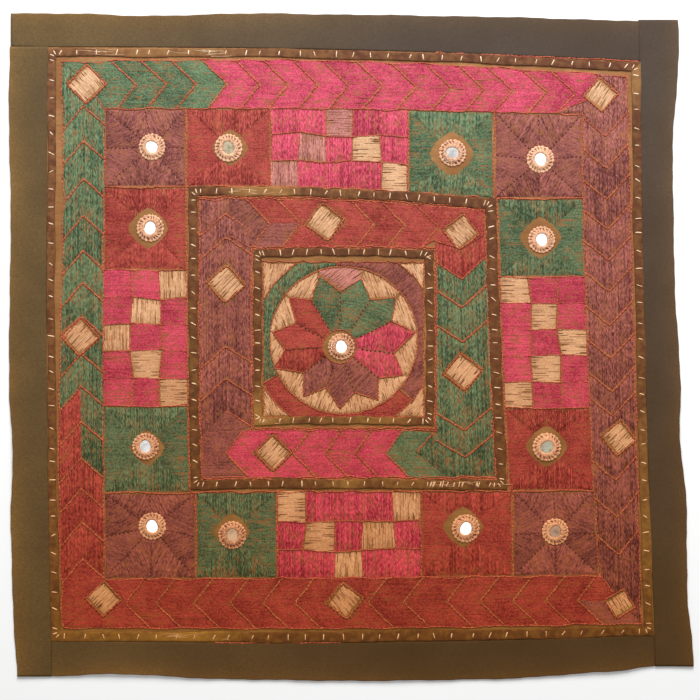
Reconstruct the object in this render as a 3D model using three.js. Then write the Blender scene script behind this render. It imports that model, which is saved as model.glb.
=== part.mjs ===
// An embroidered table square, lying flat and face up: a tan ground cloth worked in nested squares,
// four dark cotton strips sewn round it as a border, three frames of narrow folded strip couched on it,
// and small round mirrors, each held by a worked thread ring.
// Millimetres, +Z up. The underside is at z = 0, the middle of the cloth at the origin, its top edge at +Y.
import * as THREE from "three";

// Thicknesses
const GROUND_THICKNESS = 1.0;
const STITCHED_THICKNESS = 1.6;
const BORDER_THICKNESS = 1.9;
const SEAM_THICKNESS = 1.5;
const HEM_THICKNESS = 1.1;
const SEWN_GAP = 0.3;

// Couched strip
const STRIP_WIDTH = 8.6;
const STRIP_THICKNESS = 1.5;
const STRIP_PINCH = 0.86;

// Mirrors and their thread rings
const MIRROR_RADIUS = 9;
const MIRROR_THICKNESS = 1.0;
const RING_OUTER_RADIUS = 15;
const RING_LIP_RADIUS = 7;
const RING_HEIGHT = 2.2;
const RING_LIP_THICKNESS = 0.5;
const RING_FOOT_TUCK = 0.8;
const ROUND_STEPS = 18;

// Steps of the meshes
const GROUND_STEPS_PER_SIDE = 20;
const BORDER_STEPS_ALONG = 32;

// A square of the layout: its four corners, and how far the middle of each side, in the order bottom, right,
// top and left, bows out from the straight line between its corners.
function square(bottomLeft, bottomRight, topRight, topLeft, bows = [0, 0, 0, 0]) {
  return { corners: [bottomLeft, bottomRight, topRight, topLeft], bows };
}

// The squares that the work is laid out on, from the ground's edge inwards, drawn by hand and a little off true.
const SQUARES = {
  ground: square([-300, -294.5], [304, -289], [289, 286], [-303, 300], [5, -2.2, 4.2, 3.5]),
  outerStrip: square([-295, -288.5], [297, -283.5], [283.8, 280], [-298, 294], [3.5, -1.5, 5, 2.5]),
  bandOuter: square([-288, -281], [290, -277], [276, 270], [-289.5, 284.5], [2.5, 0.5, 8, 3.5]),
  bandInner: square([-247, -233], [249, -229.5], [232, 232.5], [-246.5, 238], [0.5, -4, 2.6, 1.5]),
  tilesInner: square([-161, -145.5], [158, -144.5], [146, 147], [-164.5, 160], [0, -1, 4.5, 1]),
  middleStrip: square([-155.5, -138], [152, -138.5], [140.5, 142], [-157.7, 154.5], [-1, -0.5, 4, 1]),
  innerBandOuter: square([-149, -131], [144, -130.5], [133.5, 136.5], [-151.5, 147.5], [0, -0.5, 4, 1]),
  innerBandInner: square([-99, -83.5], [85.5, -83.5], [86, 99], [-99.5, 99], [0, 0, 1, 0]),
  innerStrip: square([-93.5, -76], [79, -76.5], [78.5, 92.5], [-93.5, 92.5], [0, 1, 1.5, 0]),
  medallion: square([-87.5, -70.5], [73, -70.5], [73, 84.5], [-88, 85]),
  middle: square([-7.5, 6.5], [-7.5, 6.5], [-7.5, 6.5], [-7.5, 6.5]),
};

// The fields covered with stitches, each from its outer square to its inner one. The thread stands above the
// bare ground, rising within a narrow lip at the field's edges.
const STITCHED_FIELDS = [
  { outer: "bandOuter", inner: "bandInner" },
  { outer: "bandInner", inner: "tilesInner" },
  { outer: "innerBandOuter", inner: "innerBandInner" },
  { outer: "medallion", inner: "middle" },
];
const FIELD_EDGE = 0.01;
const FIELD_LIP = 0.05;

// The border strips, a row for each section across: its place along the side of the ground, where 0 and 1 are
// the ground's corners going anticlockwise, the strip's width there, and how far its hem lifts off the table.
const BORDER_STRIPS = {
  border_bottom: {
    side: 0,
    sections: [
      { along: 0.002, width: 35.3, lift: 0 },
      { along: 0.11, width: 31.9, lift: 1.6 },
      { along: 0.3, width: 36.2, lift: 0 },
      { along: 0.55, width: 38, lift: 0.6 },
      { along: 0.75, width: 38.6, lift: 0 },
      { along: 0.92, width: 34.8, lift: 1.2 },
      { along: 0.998, width: 31, lift: 0 },
    ],
  },
  border_right: {
    side: 1,
    sections: [
      { along: -0.054, width: 38.4, lift: 0 },
      { along: 0.07, width: 34.2, lift: 0.8 },
      { along: 0.24, width: 36.6, lift: 0 },
      { along: 0.34, width: 31.8, lift: 2 },
      { along: 0.44, width: 34.5, lift: 0.4 },
      { along: 0.62, width: 31.2, lift: 0 },
      { along: 0.83, width: 31.2, lift: 1 },
      { along: 1.035, width: 37.5, lift: 0 },
      { along: 1.071, width: 36.5, lift: 0 },
    ],
  },
  border_top: {
    side: 2,
    sections: [
      { along: 0.002, width: 39.6, lift: 0 },
      { along: 0.15, width: 38.2, lift: 0.8 },
      { along: 0.4, width: 36, lift: 0 },
      { along: 0.54, width: 34.6, lift: 0.6 },
      { along: 0.62, width: 34.9, lift: 0 },
      { along: 0.84, width: 30.8, lift: 1.8 },
      { along: 0.96, width: 33.4, lift: 0 },
      { along: 1.063, width: 32.8, lift: 0 },
    ],
  },
  border_left: {
    side: 3,
    sections: [
      { along: 0.002, width: 38.4, lift: 0 },
      { along: 0.08, width: 38.6, lift: 0.6 },
      { along: 0.3, width: 35.2, lift: 1.4 },
      { along: 0.57, width: 37.4, lift: 0 },
      { along: 0.69, width: 34.2, lift: 2.2 },
      { along: 0.79, width: 37.8, lift: 0.3 },
      { along: 0.96, width: 37.4, lift: 0 },
      { along: 1.06, width: 34.4, lift: 0 },
    ],
  },
};

// A border strip's thickness across it, from its seam to the fold of its hem.
const BORDER_PROFILE = [
  { across: 0, thickness: SEAM_THICKNESS },
  { across: 0.08, thickness: BORDER_THICKNESS },
  { across: 0.5, thickness: 0.9 * BORDER_THICKNESS },
  { across: 0.94, thickness: BORDER_THICKNESS },
  { across: 1, thickness: HEM_THICKNESS },
];

// The couched frames: the square that each follows, and its tacking stitches on a side, where it is drawn in.
const COUCHED_STRIPS = {
  couched_strip_outer: { square: "outerStrip", stitchesPerSide: 32 },
  couched_strip_middle: { square: "middleStrip", stitchesPerSide: 19 },
  couched_strip_inner: { square: "innerStrip", stitchesPerSide: 12 },
};

// A couched strip's section: a flat underside and a low crown, as shares of its width and thickness.
const STRIP_SECTION = [
  { across: -0.5, height: 0 },
  { across: 0.5, height: 0 },
  { across: 0.4, height: 0.75 },
  { across: 0, height: 1 },
  { across: -0.4, height: 0.75 },
  { across: -0.5, height: 0 },
];

// Where the mirrors are, row by row from the top of the cloth, the large medallion's in the middle.
const MIRROR_PLACES = [
  { x: -199, y: 198.5 },
  { x: -122, y: 198.5 },
  { x: 101, y: 191.5 },
  { x: 189, y: 186.5 },
  { x: -201, y: 117.5 },
  { x: 190, y: 107.5 },
  { x: -11.5, y: 0 },
  { x: -205, y: -99.5 },
  { x: 196, y: -99.5 },
  { x: -199, y: -180.5 },
  { x: -118, y: -187.5 },
  { x: 114, y: -181.5 },
  { x: 204, y: -186.5 },
];

const OUTWARD = [
  new THREE.Vector2(0, -1),
  new THREE.Vector2(1, 0),
  new THREE.Vector2(0, 1),
  new THREE.Vector2(-1, 0),
];

const finish = (color, roughness, metalness) => new THREE.MeshStandardMaterial({ color, roughness, metalness });
const tanCotton = () => finish(0xa6784d, 0.95, 0);
const darkCotton = () => finish(0x66503a, 0.95, 0);
const foldedStripCotton = () => finish(0x785238, 0.9, 0);
const creamThread = () => finish(0xe4bd96, 0.7, 0);
const silveredGlass = () => finish(0xdfe3e4, 0.06, 1);

// A corner of a square, moved out along both of its sides by grow.
function cornerOf(layoutSquare, index, grow) {
  const corner = new THREE.Vector2(...layoutSquare.corners[index % 4]);
  corner.addScaledVector(OUTWARD[(index + 3) % 4], grow);
  return corner.addScaledVector(OUTWARD[index % 4], grow);
}

// A point on one side of a square: on the line between its corners, plus a half sine wave for the bow.
// A share below 0 or above 1 runs straight on past the corner.
function onSide(layoutSquare, side, share, grow = 0) {
  const point = cornerOf(layoutSquare, side, grow).lerp(cornerOf(layoutSquare, side + 1, grow), share);
  const bow = layoutSquare.bows[side] * Math.sin(Math.PI * THREE.MathUtils.clamp(share, 0, 1));
  return point.addScaledVector(OUTWARD[side], bow);
}

// A point round a whole square, one unit of around for each side, anticlockwise from the bottom left corner.
function onSquare(layoutSquare, around, grow = 0) {
  const side = Math.floor(around) % 4;
  return onSide(layoutSquare, side, around - Math.floor(around), grow);
}

// A closed ring solid: a section carried round, each of its points set by place(row, around, step), where
// around goes from 0 to 4, one unit for each side.
function carriedRound(rows, stepsPerSide, place) {
  const steps = 4 * stepsPerSide;
  const outline = rows.map(() => new THREE.Vector2(1, 0));
  const geometry = new THREE.LatheGeometry(outline, steps);
  const position = geometry.getAttribute("position");
  for (let index = 0; index < position.count; index += 1) {
    const step = Math.floor(index / rows.length) % steps;
    const point = place(rows[index % rows.length], step / stepsPerSide, step);
    position.setXYZ(index, point.x, point.y, point.z);
  }
  return geometry;
}

// The ground cloth: a section from the middle of the underside out to the edge, then back over the face,
// through every stitched field, to the middle of the face.
function groundGeometry() {
  const rows = [
    { outer: "middle", inner: "middle", share: 0, height: 0 },
    { outer: "ground", inner: "ground", share: 0, height: 0 },
    { outer: "ground", inner: "ground", share: 0, height: GROUND_THICKNESS },
  ];
  for (const field of STITCHED_FIELDS) {
    rows.push({ ...field, share: FIELD_EDGE, height: GROUND_THICKNESS });
    rows.push({ ...field, share: FIELD_LIP, height: STITCHED_THICKNESS });
    if (field.inner === "middle") {
      rows.push({ ...field, share: 1, height: STITCHED_THICKNESS });
    } else {
      rows.push({ ...field, share: 1 - FIELD_LIP, height: STITCHED_THICKNESS });
      rows.push({ ...field, share: 1 - FIELD_EDGE, height: GROUND_THICKNESS });
    }
  }
  return carriedRound(rows, GROUND_STEPS_PER_SIDE, (row, around) => {
    const outer = onSquare(SQUARES[row.outer], around);
    const point = outer.lerp(onSquare(SQUARES[row.inner], around), row.share);
    return new THREE.Vector3(point.x, point.y, row.height);
  });
}

// A couched frame: the strip's section carried round its square, narrower at every tacking stitch.
function couchedGeometry({ square, stitchesPerSide }) {
  return carriedRound(STRIP_SECTION, 2 * stitchesPerSide, (row, around, step) => {
    const width = STRIP_WIDTH * (step % 2 === 1 ? STRIP_PINCH : 1);
    const point = onSquare(SQUARES[square], around, row.across * width);
    const height = GROUND_THICKNESS + SEWN_GAP + row.height * STRIP_THICKNESS;
    return new THREE.Vector3(point.x, point.y, height);
  });
}

// A strip's width or lift at a place along it, eased from one section's value to the next one's.
function easedAlong(sections, along, value) {
  const next = sections.findIndex((section) => section.along >= along);
  const high = sections[next === -1 ? sections.length - 1 : Math.max(next, 1)];
  const low = sections[sections.indexOf(high) - 1];
  const share = THREE.MathUtils.smoothstep(along, low.along, high.along);
  return THREE.MathUtils.lerp(low[value], high[value], share);
}

// A border strip: a box whose points are moved so that it runs along its seam, spreads to its hem,
// and has the folded thickness, its hem rising off the table where the cloth is drawn in.
function borderGeometry({ side, sections }) {
  const acrossSteps = BORDER_PROFILE.length - 1;
  const start = sections[0].along;
  const end = sections[sections.length - 1].along;
  const geometry = new THREE.BoxGeometry(1, 1, 1, BORDER_STEPS_ALONG, acrossSteps, 1);
  const position = geometry.getAttribute("position");
  for (let index = 0; index < position.count; index += 1) {
    const along = THREE.MathUtils.lerp(start, end, position.getX(index) + 0.5);
    const profile = BORDER_PROFILE[Math.round((0.5 - position.getY(index)) * acrossSteps)];
    const width = easedAlong(sections, along, "width");
    const lift = easedAlong(sections, along, "lift") * profile.across ** 2;
    const point = onSide(SQUARES.ground, side, along);
    point.addScaledVector(OUTWARD[side], THREE.MathUtils.lerp(SEWN_GAP, width, profile.across));
    const height = position.getZ(index) > 0 ? lift + profile.thickness : lift;
    position.setXYZ(index, point.x, point.y, height);
  }
  return geometry;
}

// A mirror: a flat round of silvered glass.
function mirrorGeometry() {
  const geometry = new THREE.CylinderGeometry(MIRROR_RADIUS, MIRROR_RADIUS, MIRROR_THICKNESS, ROUND_STEPS);
  return geometry.rotateX(Math.PI / 2).translate(0, 0, MIRROR_THICKNESS / 2);
}

// A thread ring: it stands round the mirror and its lip reaches in over the glass.
function threadRingGeometry() {
  const foot = MIRROR_RADIUS + SEWN_GAP;
  const lipUnder = MIRROR_THICKNESS + SEWN_GAP;
  const section = [
    new THREE.Vector2(foot, 0),
    new THREE.Vector2(RING_OUTER_RADIUS - RING_FOOT_TUCK, 0),
    new THREE.Vector2(RING_OUTER_RADIUS, RING_HEIGHT / 2),
    new THREE.Vector2((RING_OUTER_RADIUS + RING_LIP_RADIUS) / 2, RING_HEIGHT),
    new THREE.Vector2(RING_LIP_RADIUS, lipUnder + RING_LIP_THICKNESS),
    new THREE.Vector2(RING_LIP_RADIUS, lipUnder),
    new THREE.Vector2(foot, lipUnder),
    new THREE.Vector2(foot, 0),
  ];
  return new THREE.LatheGeometry(section, ROUND_STEPS).rotateX(Math.PI / 2);
}

function named(name, geometry, material) {
  const mesh = new THREE.Mesh(geometry, material);
  mesh.name = name;
  return mesh;
}

const tablecloth = new THREE.Group();
tablecloth.add(named("ground_cloth", groundGeometry(), tanCotton()));
for (const [name, strip] of Object.entries(BORDER_STRIPS)) {
  tablecloth.add(named(name, borderGeometry(strip), darkCotton()));
}
for (const [name, strip] of Object.entries(COUCHED_STRIPS)) {
  tablecloth.add(named(name, couchedGeometry(strip), foldedStripCotton()));
}
MIRROR_PLACES.forEach(({ x, y }, index) => {
  const number = String(index + 1).padStart(2, "0");
  const sewnOn = new THREE.Group();
  sewnOn.position.set(x, y, STITCHED_THICKNESS + SEWN_GAP);
  sewnOn.add(named(`mirror_${number}`, mirrorGeometry(), silveredGlass()));
  sewnOn.add(named(`thread_ring_${number}`, threadRingGeometry(), creamThread()));
  tablecloth.add(sewnOn);
});

export default tablecloth;
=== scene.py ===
"""A table square of mirror work, face up on a pale floor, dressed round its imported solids.

Metres, +Z up. The middle of the cloth is at the origin and its top edge is towards +Y.
"""

import bpy
import numpy as np
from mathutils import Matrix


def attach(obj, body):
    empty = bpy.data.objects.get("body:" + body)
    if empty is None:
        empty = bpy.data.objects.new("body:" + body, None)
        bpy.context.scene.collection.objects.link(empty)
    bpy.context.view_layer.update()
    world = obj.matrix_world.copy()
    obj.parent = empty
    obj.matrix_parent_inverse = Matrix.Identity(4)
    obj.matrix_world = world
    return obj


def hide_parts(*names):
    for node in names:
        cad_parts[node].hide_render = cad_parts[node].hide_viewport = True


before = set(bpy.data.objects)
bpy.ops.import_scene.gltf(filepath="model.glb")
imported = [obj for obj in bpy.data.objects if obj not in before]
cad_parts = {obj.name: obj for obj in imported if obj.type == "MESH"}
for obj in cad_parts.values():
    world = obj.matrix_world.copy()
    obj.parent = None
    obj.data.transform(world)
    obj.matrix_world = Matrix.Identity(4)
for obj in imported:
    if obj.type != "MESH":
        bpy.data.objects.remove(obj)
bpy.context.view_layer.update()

# Ground cloth
# One square of tan plain-weave cotton, which all the stitching goes through. It lies on the table, a little
# puckered by the thread and raised under each mirror, and shows in slivers between the stitches.
MM = 0.001
GROUND_THICKNESS = 1.0 * MM
GROUND_STEPS = 150
PUCKER_HEIGHT = 0.2 / 3 * MM
MIRROR_RISE = 0.5 * MM
MIRROR_RISE_RADIUS = 17 * MM
SEAM_TUCK = 1.5 * MM
TAN = (152, 106, 66)
TAN_WORN = (176, 129, 85)
TAN_SLUB = (128, 82, 48)
UNTINTED = (1.0, 1.0, 1.0, 1.0)
# Painted shade: each colour is multiplied down the cloth, from the top edge, towards these tints at the
# bottom edge, darker and warmer as the light falls off there.
PAINTED_SHADE_TINT = (0.9, 0.61, 0.37, 1.0)
COTTON_PAINTED_SHADE = (0.74, 0.62, 0.3, 1.0)
PAINTED_SHADE_FROM_Y = 0.262
PAINTED_SHADE_TO_Y = -0.275
GROUND_THREADS_PER_METRE = 1500
WEAVE_UNEVEN = 0.6
ONE_BAND_PER_METRE = np.pi / 10
NOISE_MIDDLE = (0.3, 0.7)

BOTTOM, RIGHT, TOP, LEFT = range(4)
OUTWARD = np.array([(0.0, -1.0), (1.0, 0.0), (0.0, 1.0), (-1.0, 0.0)])
chance = np.random.default_rng(11)

# The ground's puckers: the height of each wave, how fast it turns along X and along Y, in radians a metre,
# and where it starts, if not at 0.
PUCKERS = [
    {"height": PUCKER_HEIGHT, "turns": (41, 17)},
    {"height": PUCKER_HEIGHT, "turns": (-29, 73), "start": 1.3},
    {"height": PUCKER_HEIGHT, "turns": (97, 61), "start": 2.1},
]


def laid_out(bottom_left, bottom_right, top_right, top_left, bows=(0, 0, 0, 0), sways=(0, 0, 0, 0)):
    """A square of the layout in millimetres: its corners, and how far each side bows out in the middle and
    sways out and in along its two halves, in the order bottom, right, top and left."""
    corners = np.array((bottom_left, bottom_right, top_right, top_left)) * MM
    return {"corners": corners, "bows": np.array(bows) * MM, "sways": np.array(sways) * MM}


# The squares that the work was laid out on by hand, a little off true, from the ground's edge inwards.
SQUARES = {
    "ground": laid_out((-300, -294.5), (304, -289), (289, 286), (-303, 300), (5, -2.2, 4.2, 3.5)),
    "outer_strip": laid_out((-296, -289.5), (298, -284.5), (284.8, 280), (-299, 294), (3.5, -1.5, 5, 2.5)),
    "band_outer": laid_out(
        (-288, -281), (290, -277), (276, 270), (-289.5, 284.5), (2.5, 0.5, 8, 1.8), (0, 0, 0, -2.4)
    ),
    "band_inner": laid_out((-247, -233), (249, -229.5), (232, 232.5), (-246.5, 238), (0.5, -4, 2.6, 1.5)),
    "tiles_inner": laid_out((-161, -145.5), (158, -144.5), (146, 147), (-164.5, 160), (0, -1, 4.5, 1)),
    "middle_strip": laid_out((-155.5, -138), (151, -138.5), (139.5, 143), (-157.5, 155.5), (-1, -1, 4, 1)),
    "inner_outer": laid_out((-149, -131), (144, -130.5), (133.5, 136.5), (-151.5, 147.5), (0, -0.5, 4, 1)),
    "inner_inner": laid_out((-99, -83.5), (85.5, -83.5), (86, 99), (-99.5, 99), (0, 0, 1, 0)),
    "inner_strip": laid_out((-93.5, -74.5), (78.5, -75), (77.5, 92.5), (-93.5, 93), (-1, 1.5, 2, 0)),
    "medallion": laid_out((-87.5, -70.5), (73, -70.5), (73, 84.5), (-88, 85)),
}

# The mirrors, row by row from the top of the cloth. lean is how far each tips towards +X and +Y, in
# degrees, glass the tint and clouding of its silvering, partly tarnish and partly a painted reflection of
# what it faces, and bare how far the lozenge of bare ground round it reaches, in millimetres.
MIRRORS = [
    {"x": -199, "y": 198.5, "lean": (1.0, 0.5), "glass": "clear", "bare": 0},
    {"x": -122, "y": 198.5, "lean": (-1.0, -1.5), "glass": "sea", "bare": 19},
    {"x": 101, "y": 191.5, "lean": (1.5, -1.0), "glass": "sky", "bare": 23},
    {"x": 189, "y": 186.5, "lean": (-1.0, 0.8), "glass": "clear", "bare": 0},
    {"x": -201, "y": 117.5, "lean": (0.6, -1.0), "glass": "clear", "bare": 21},
    {"x": 190, "y": 107.5, "lean": (1.2, 0.4), "glass": "clear", "bare": 21.5},
    {"x": -11.5, "y": 0, "lean": (0.5, 0.5), "glass": "clear", "bare": 0},
    {"x": -205, "y": -99.5, "lean": (1.5, 1.5), "glass": "sky", "bare": 18},
    {"x": 196, "y": -99.5, "lean": (-1.5, -1.0), "glass": "teal", "bare": 21.5},
    {"x": -199, "y": -180.5, "lean": (0.8, 1.0), "glass": "clear", "bare": 0},
    {"x": -118, "y": -187.5, "lean": (-1.0, -1.5), "glass": "amber", "bare": 18.5},
    {"x": 114, "y": -181.5, "lean": (1.0, -0.5), "glass": "clear", "bare": 21},
    {"x": 204, "y": -186.5, "lean": (1.0, -1.5), "glass": "smoke", "bare": 0},
]
mirror_middles = np.array([(mirror["x"], mirror["y"]) for mirror in MIRRORS]) * MM


def on_side(square, side, share, grow=0.0):
    """Points on one side of a layout square: the line between its two corners, plus half a sine wave
    outwards for the bow and a whole one for the sway. grow moves the square out. A share past 0 or 1 runs
    straight on."""
    side, share, grow = np.broadcast_arrays(side, share, grow)
    following = (side + 1) % 4
    share, grow = share[..., None], grow[..., None]
    start = square["corners"][side] + (OUTWARD[side - 1] + OUTWARD[side]) * grow
    end = square["corners"][following] + (OUTWARD[side] + OUTWARD[following]) * grow
    turn = np.pi * np.clip(share, 0, 1)
    bow = square["bows"][side][..., None] * np.sin(turn)
    bow = bow + square["sways"][side][..., None] * np.sin(2 * turn)
    return start + (end - start) * share + OUTWARD[side] * bow


def wavy(rows, *places):
    """Sine waves added together. Each row gives a wave's height, how fast it turns with each of the places,
    and where it starts."""
    total = 0.0
    for row in rows:
        turn = sum(fast * place for fast, place in zip(row["turns"], places))
        total = total + row["height"] * np.sin(turn + row.get("start", 0.0))
    return total


def lie(x, y):
    """Height of the ground's face: its thickness, its puckers, and a bell under each mirror."""
    away = (x[..., None] - mirror_middles[:, 0]) ** 2 + (y[..., None] - mirror_middles[:, 1]) ** 2
    bells = np.exp(-away / MIRROR_RISE_RADIUS**2).sum(-1)
    return GROUND_THICKNESS + wavy(PUCKERS, x, y) + MIRROR_RISE * bells


def ground_sections():
    """The ground's face and back: the straight sheet between the four corners, plus each side's own bow,
    which fades out across the sheet. One section for each step from left to right."""
    square = SQUARES["ground"]
    steps = np.linspace(0, 1, GROUND_STEPS + 1)
    u, v = np.meshgrid(steps, steps, indexing="ij")
    bottom = on_side(square, BOTTOM, u, SEAM_TUCK)
    top = on_side(square, TOP, 1 - u, SEAM_TUCK)
    left = on_side(square, LEFT, 1 - v, SEAM_TUCK)
    right = on_side(square, RIGHT, v, SEAM_TUCK)
    corners = on_side(square, np.arange(4), 0.0, SEAM_TUCK)
    u, v = u[..., None], v[..., None]
    low_edge = (1 - u) * corners[0] + u * corners[1]
    high_edge = (1 - u) * corners[3] + u * corners[2]
    straight = (1 - v) * low_edge + v * high_edge
    flat = (1 - v) * bottom + v * top + (1 - u) * left + u * right - straight
    face = np.dstack([flat, lie(flat[..., 0], flat[..., 1])])
    back = np.dstack([flat, np.zeros(flat.shape[:2])])
    return np.concatenate([face, back[:, ::-1]], 1)[None]


def carried(sections, closed_path=False, flat_back=False):
    """Quads of sections carried along paths. sections is an array of paths, stations and section points.
    Each point is joined to the next in its section and at the next station. The ends are closed by joining
    the first half of the section to the second, unless the path closes on itself. flat_back keeps the
    underside unsmoothed."""
    paths, stations, corners = sections.shape[:3]
    index = np.arange(paths * stations * corners).reshape(paths, stations, corners)
    if closed_path:
        index = np.concatenate([index, index[:, :1]], 1)
    ring = np.concatenate([index, index[..., :1]], 2)
    walls = np.stack([ring[:, :-1, :-1], ring[:, 1:, :-1], ring[:, 1:, 1:], ring[:, :-1, 1:]], -1)
    smooth = np.ones(walls.shape[:3], bool)
    if flat_back:
        smooth[..., -1] = False
    faces, smooth = [walls.reshape(-1, 4)], [smooth.ravel()]
    if not closed_path:
        half = corners // 2
        near, far = index[..., :half], index[..., : half - 1 : -1]
        caps = np.stack([near[..., :-1], near[..., 1:], far[..., 1:], far[..., :-1]], -1)
        ends = np.concatenate([caps[:, 0].reshape(-1, 4), caps[:, -1, :, ::-1].reshape(-1, 4)])
        faces.append(ends)
        smooth.append(np.zeros(len(ends), bool))
    return sections.reshape(-1, 3), np.concatenate(faces), np.concatenate(smooth)


def new_piece(name, shape, material):
    """A mesh object, riding on the cloth's one body, from its points, its quads and which are smooth."""
    points, faces, smooth = shape
    mesh = bpy.data.meshes.new(name)
    mesh.vertices.add(len(points))
    mesh.vertices.foreach_set("co", points.astype(np.float32).ravel())
    mesh.loops.add(faces.size)
    mesh.loops.foreach_set("vertex_index", faces.astype(np.int32).ravel())
    mesh.polygons.add(len(faces))
    mesh.polygons.foreach_set("loop_start", np.arange(0, faces.size, 4, dtype=np.int32))
    mesh.polygons.foreach_set("use_smooth", smooth)
    mesh.update(calc_edges=True)
    mesh.materials.append(material)
    piece = bpy.data.objects.new(name, mesh)
    bpy.context.collection.objects.link(piece)
    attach(piece, "root")
    return piece


def shade(red, green, blue):
    """A colour from its screen values, 0 to 255, as the linear light that a shader takes."""
    screen = np.array((red, green, blue)) / 255
    light = np.where(screen <= 0.04045, screen / 12.92, ((screen + 0.055) / 1.055) ** 2.4)
    return (*light.tolist(), 1.0)


def new_finish(name, roughness, gloss):
    """A material whose shader has its constant values set, with its node tree and its shader."""
    material = bpy.data.materials.new(name)
    material.use_nodes = True
    tree = material.node_tree
    shader = tree.nodes["Principled BSDF"]
    shader.inputs["Roughness"].default_value = roughness
    shader.inputs["Specular IOR Level"].default_value = gloss
    return material, tree, shader


def node(tree, kind, inputs, **settings):
    """A node of a material. Each input is a constant or another node's output."""
    made = tree.nodes.new(kind)
    for key, value in settings.items():
        setattr(made, key, value)
    for key, value in inputs.items():
        if isinstance(value, bpy.types.NodeSocket):
            tree.links.new(value, made.inputs[key])
        else:
            made.inputs[key].default_value = value
    return made


def reckoned(tree, operation, *values, clamp=False):
    """One number worked out from others."""
    inputs = dict(enumerate(values))
    return node(tree, "ShaderNodeMath", inputs, operation=operation, use_clamp=clamp).outputs[0]


def mixed(tree, share, first, second, blend="MIX"):
    """Two colours mixed by a share."""
    inputs = {0: share, 6: first, 7: second}
    return node(tree, "ShaderNodeMix", inputs, data_type="RGBA", blend_type=blend).outputs[2]


def way_between(tree, value, start, end):
    """How far a value is on the way from a start to an end, from 0 to 1."""
    return node(tree, "ShaderNodeMapRange", {0: value, 1: start, 2: end}, clamp=True).outputs[0]


def ranged(tree, value, low, high, to_low=0.0, to_high=1.0):
    """A value eased from one range to another, and held at its ends."""
    inputs = {"Value": value, "From Min": low, "From Max": high, "To Min": to_low, "To Max": to_high}
    return node(tree, "ShaderNodeMapRange", inputs, interpolation_type="SMOOTHSTEP").outputs[0]


def place_on_cloth(tree):
    """Object coordinates, which on every piece are places on the cloth."""
    return node(tree, "ShaderNodeTexCoord", {}).outputs["Object"]


def one_of(tree, place, axis):
    """One of a place's three numbers."""
    return node(tree, "ShaderNodeSeparateXYZ", {0: place}).outputs[axis]


def cloudy(tree, place, per_metre, detail=3.0, stretch=(1, 1, 1)):
    """Soft noise on the cloth; stretch multiplies its frequency along each axis."""
    drawn = node(tree, "ShaderNodeVectorMath", {0: place, 1: stretch}, operation="MULTIPLY").outputs[0]
    inputs = {"Vector": drawn, "Scale": per_metre, "Detail": detail}
    return node(tree, "ShaderNodeTexNoise", inputs).outputs[0]


def mottled(tree, place, per_metre, low, high, detail=2.0, stretch=(1, 1, 1)):
    """Soft noise eased from a low to a high value over the middle of its range, where most of it lies."""
    return ranged(tree, cloudy(tree, place, per_metre, detail, stretch), *NOISE_MIDDLE, low, high)


def with_painted_shade(tree, colour, lowest=PAINTED_SHADE_TINT):
    """A colour with painted shade: whole at the top edge, multiplied by the lowest tint at the lower edge.
    """
    painted_shade_share = way_between(tree, one_of(tree, place_on_cloth(tree), "Y"), PAINTED_SHADE_FROM_Y, PAINTED_SHADE_TO_Y)
    return mixed(tree, 1.0, colour, mixed(tree, painted_shade_share, UNTINTED, lowest), "MULTIPLY")


def woven(tree, shader, colour, lowest, threads_per_metre, strength=0.5, depth=0.2 * MM):
    """A cotton's colour with painted shade towards the bottom edge, and the bump of its plain weave: bands
    of warp plus bands of weft, each band one thread."""
    tree.links.new(with_painted_shade(tree, colour, lowest), shader.inputs["Base Color"])
    inputs = {"Vector": place_on_cloth(tree), "Scale": threads_per_metre * ONE_BAND_PER_METRE}
    inputs.update({"Distortion": WEAVE_UNEVEN, "Detail": 1.0})
    bands = []
    for direction in ("X", "Y"):
        wave = node(tree, "ShaderNodeTexWave", inputs, bands_direction=direction, wave_profile="SIN")
        bands.append(wave.outputs["Fac"])
    inputs = {"Height": reckoned(tree, "ADD", *bands), "Strength": strength, "Distance": depth}
    tree.links.new(node(tree, "ShaderNodeBump", inputs).outputs[0], shader.inputs["Normal"])


def tan_cotton():
    """Tan cotton, rubbed paler in patches, with thread slubs and the bump of a plain weave."""
    material, tree, shader = new_finish("tan_cotton", roughness=0.9, gloss=0.12)
    place = place_on_cloth(tree)
    patches = ranged(tree, cloudy(tree, place, per_metre=22), low=0.35, high=0.68)
    colour = mixed(tree, patches, shade(*TAN), shade(*TAN_WORN))
    slubs = mottled(tree, place, per_metre=320, low=0.0, high=0.35, stretch=(0.3, 1, 1))
    colour = mixed(tree, slubs, colour, shade(*TAN_SLUB))
    woven(tree, shader, colour, COTTON_PAINTED_SHADE, GROUND_THREADS_PER_METRE)
    return material


ground = new_piece("ground_cloth_sheet", carried(ground_sections()), tan_cotton())
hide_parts("ground_cloth")

# Border strips
# Four strips of dark brown cotton, each folded double along its outer edge and sewn over the ground's raw
# edge. They are cut unevenly, so the hem wanders, and they are olive on the left, partly faded and partly
# painted warm light.
BORDER_THICKNESS = 1.9 * MM
BORDER_SEAM_LAP = 0.4 * MM
BORDER_STATION = 2.5 * MM
FOLD_RADIUS = 0.95 * MM
SEAM_ROLL = 1.6 * MM
SEAM_DROP = 0.45
SEAM_PUCKER_REACH = 5 * MM
HEM_POINTS = np.array((0.0, 0.06, 0.2, 0.45, 0.8, 1.3, 2.5, 5.0)) * MM
SEAM_POINTS = 1.4 * HEM_POINTS[::-1]
FACE_POINTS = np.linspace(0.1, 0.9, 9)
# The cotton's colours: olive on the left, partly fading and partly painted warm light, and charcoal on the
# right.
BORDER_OLIVE = (120, 98, 64)
BORDER_CHARCOAL = (86, 75, 68)
BORDER_SHADOW = (70, 57, 44)
OLIVE_UP_TO_X = -0.32
CHARCOAL_FROM_X = 0.06
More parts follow.
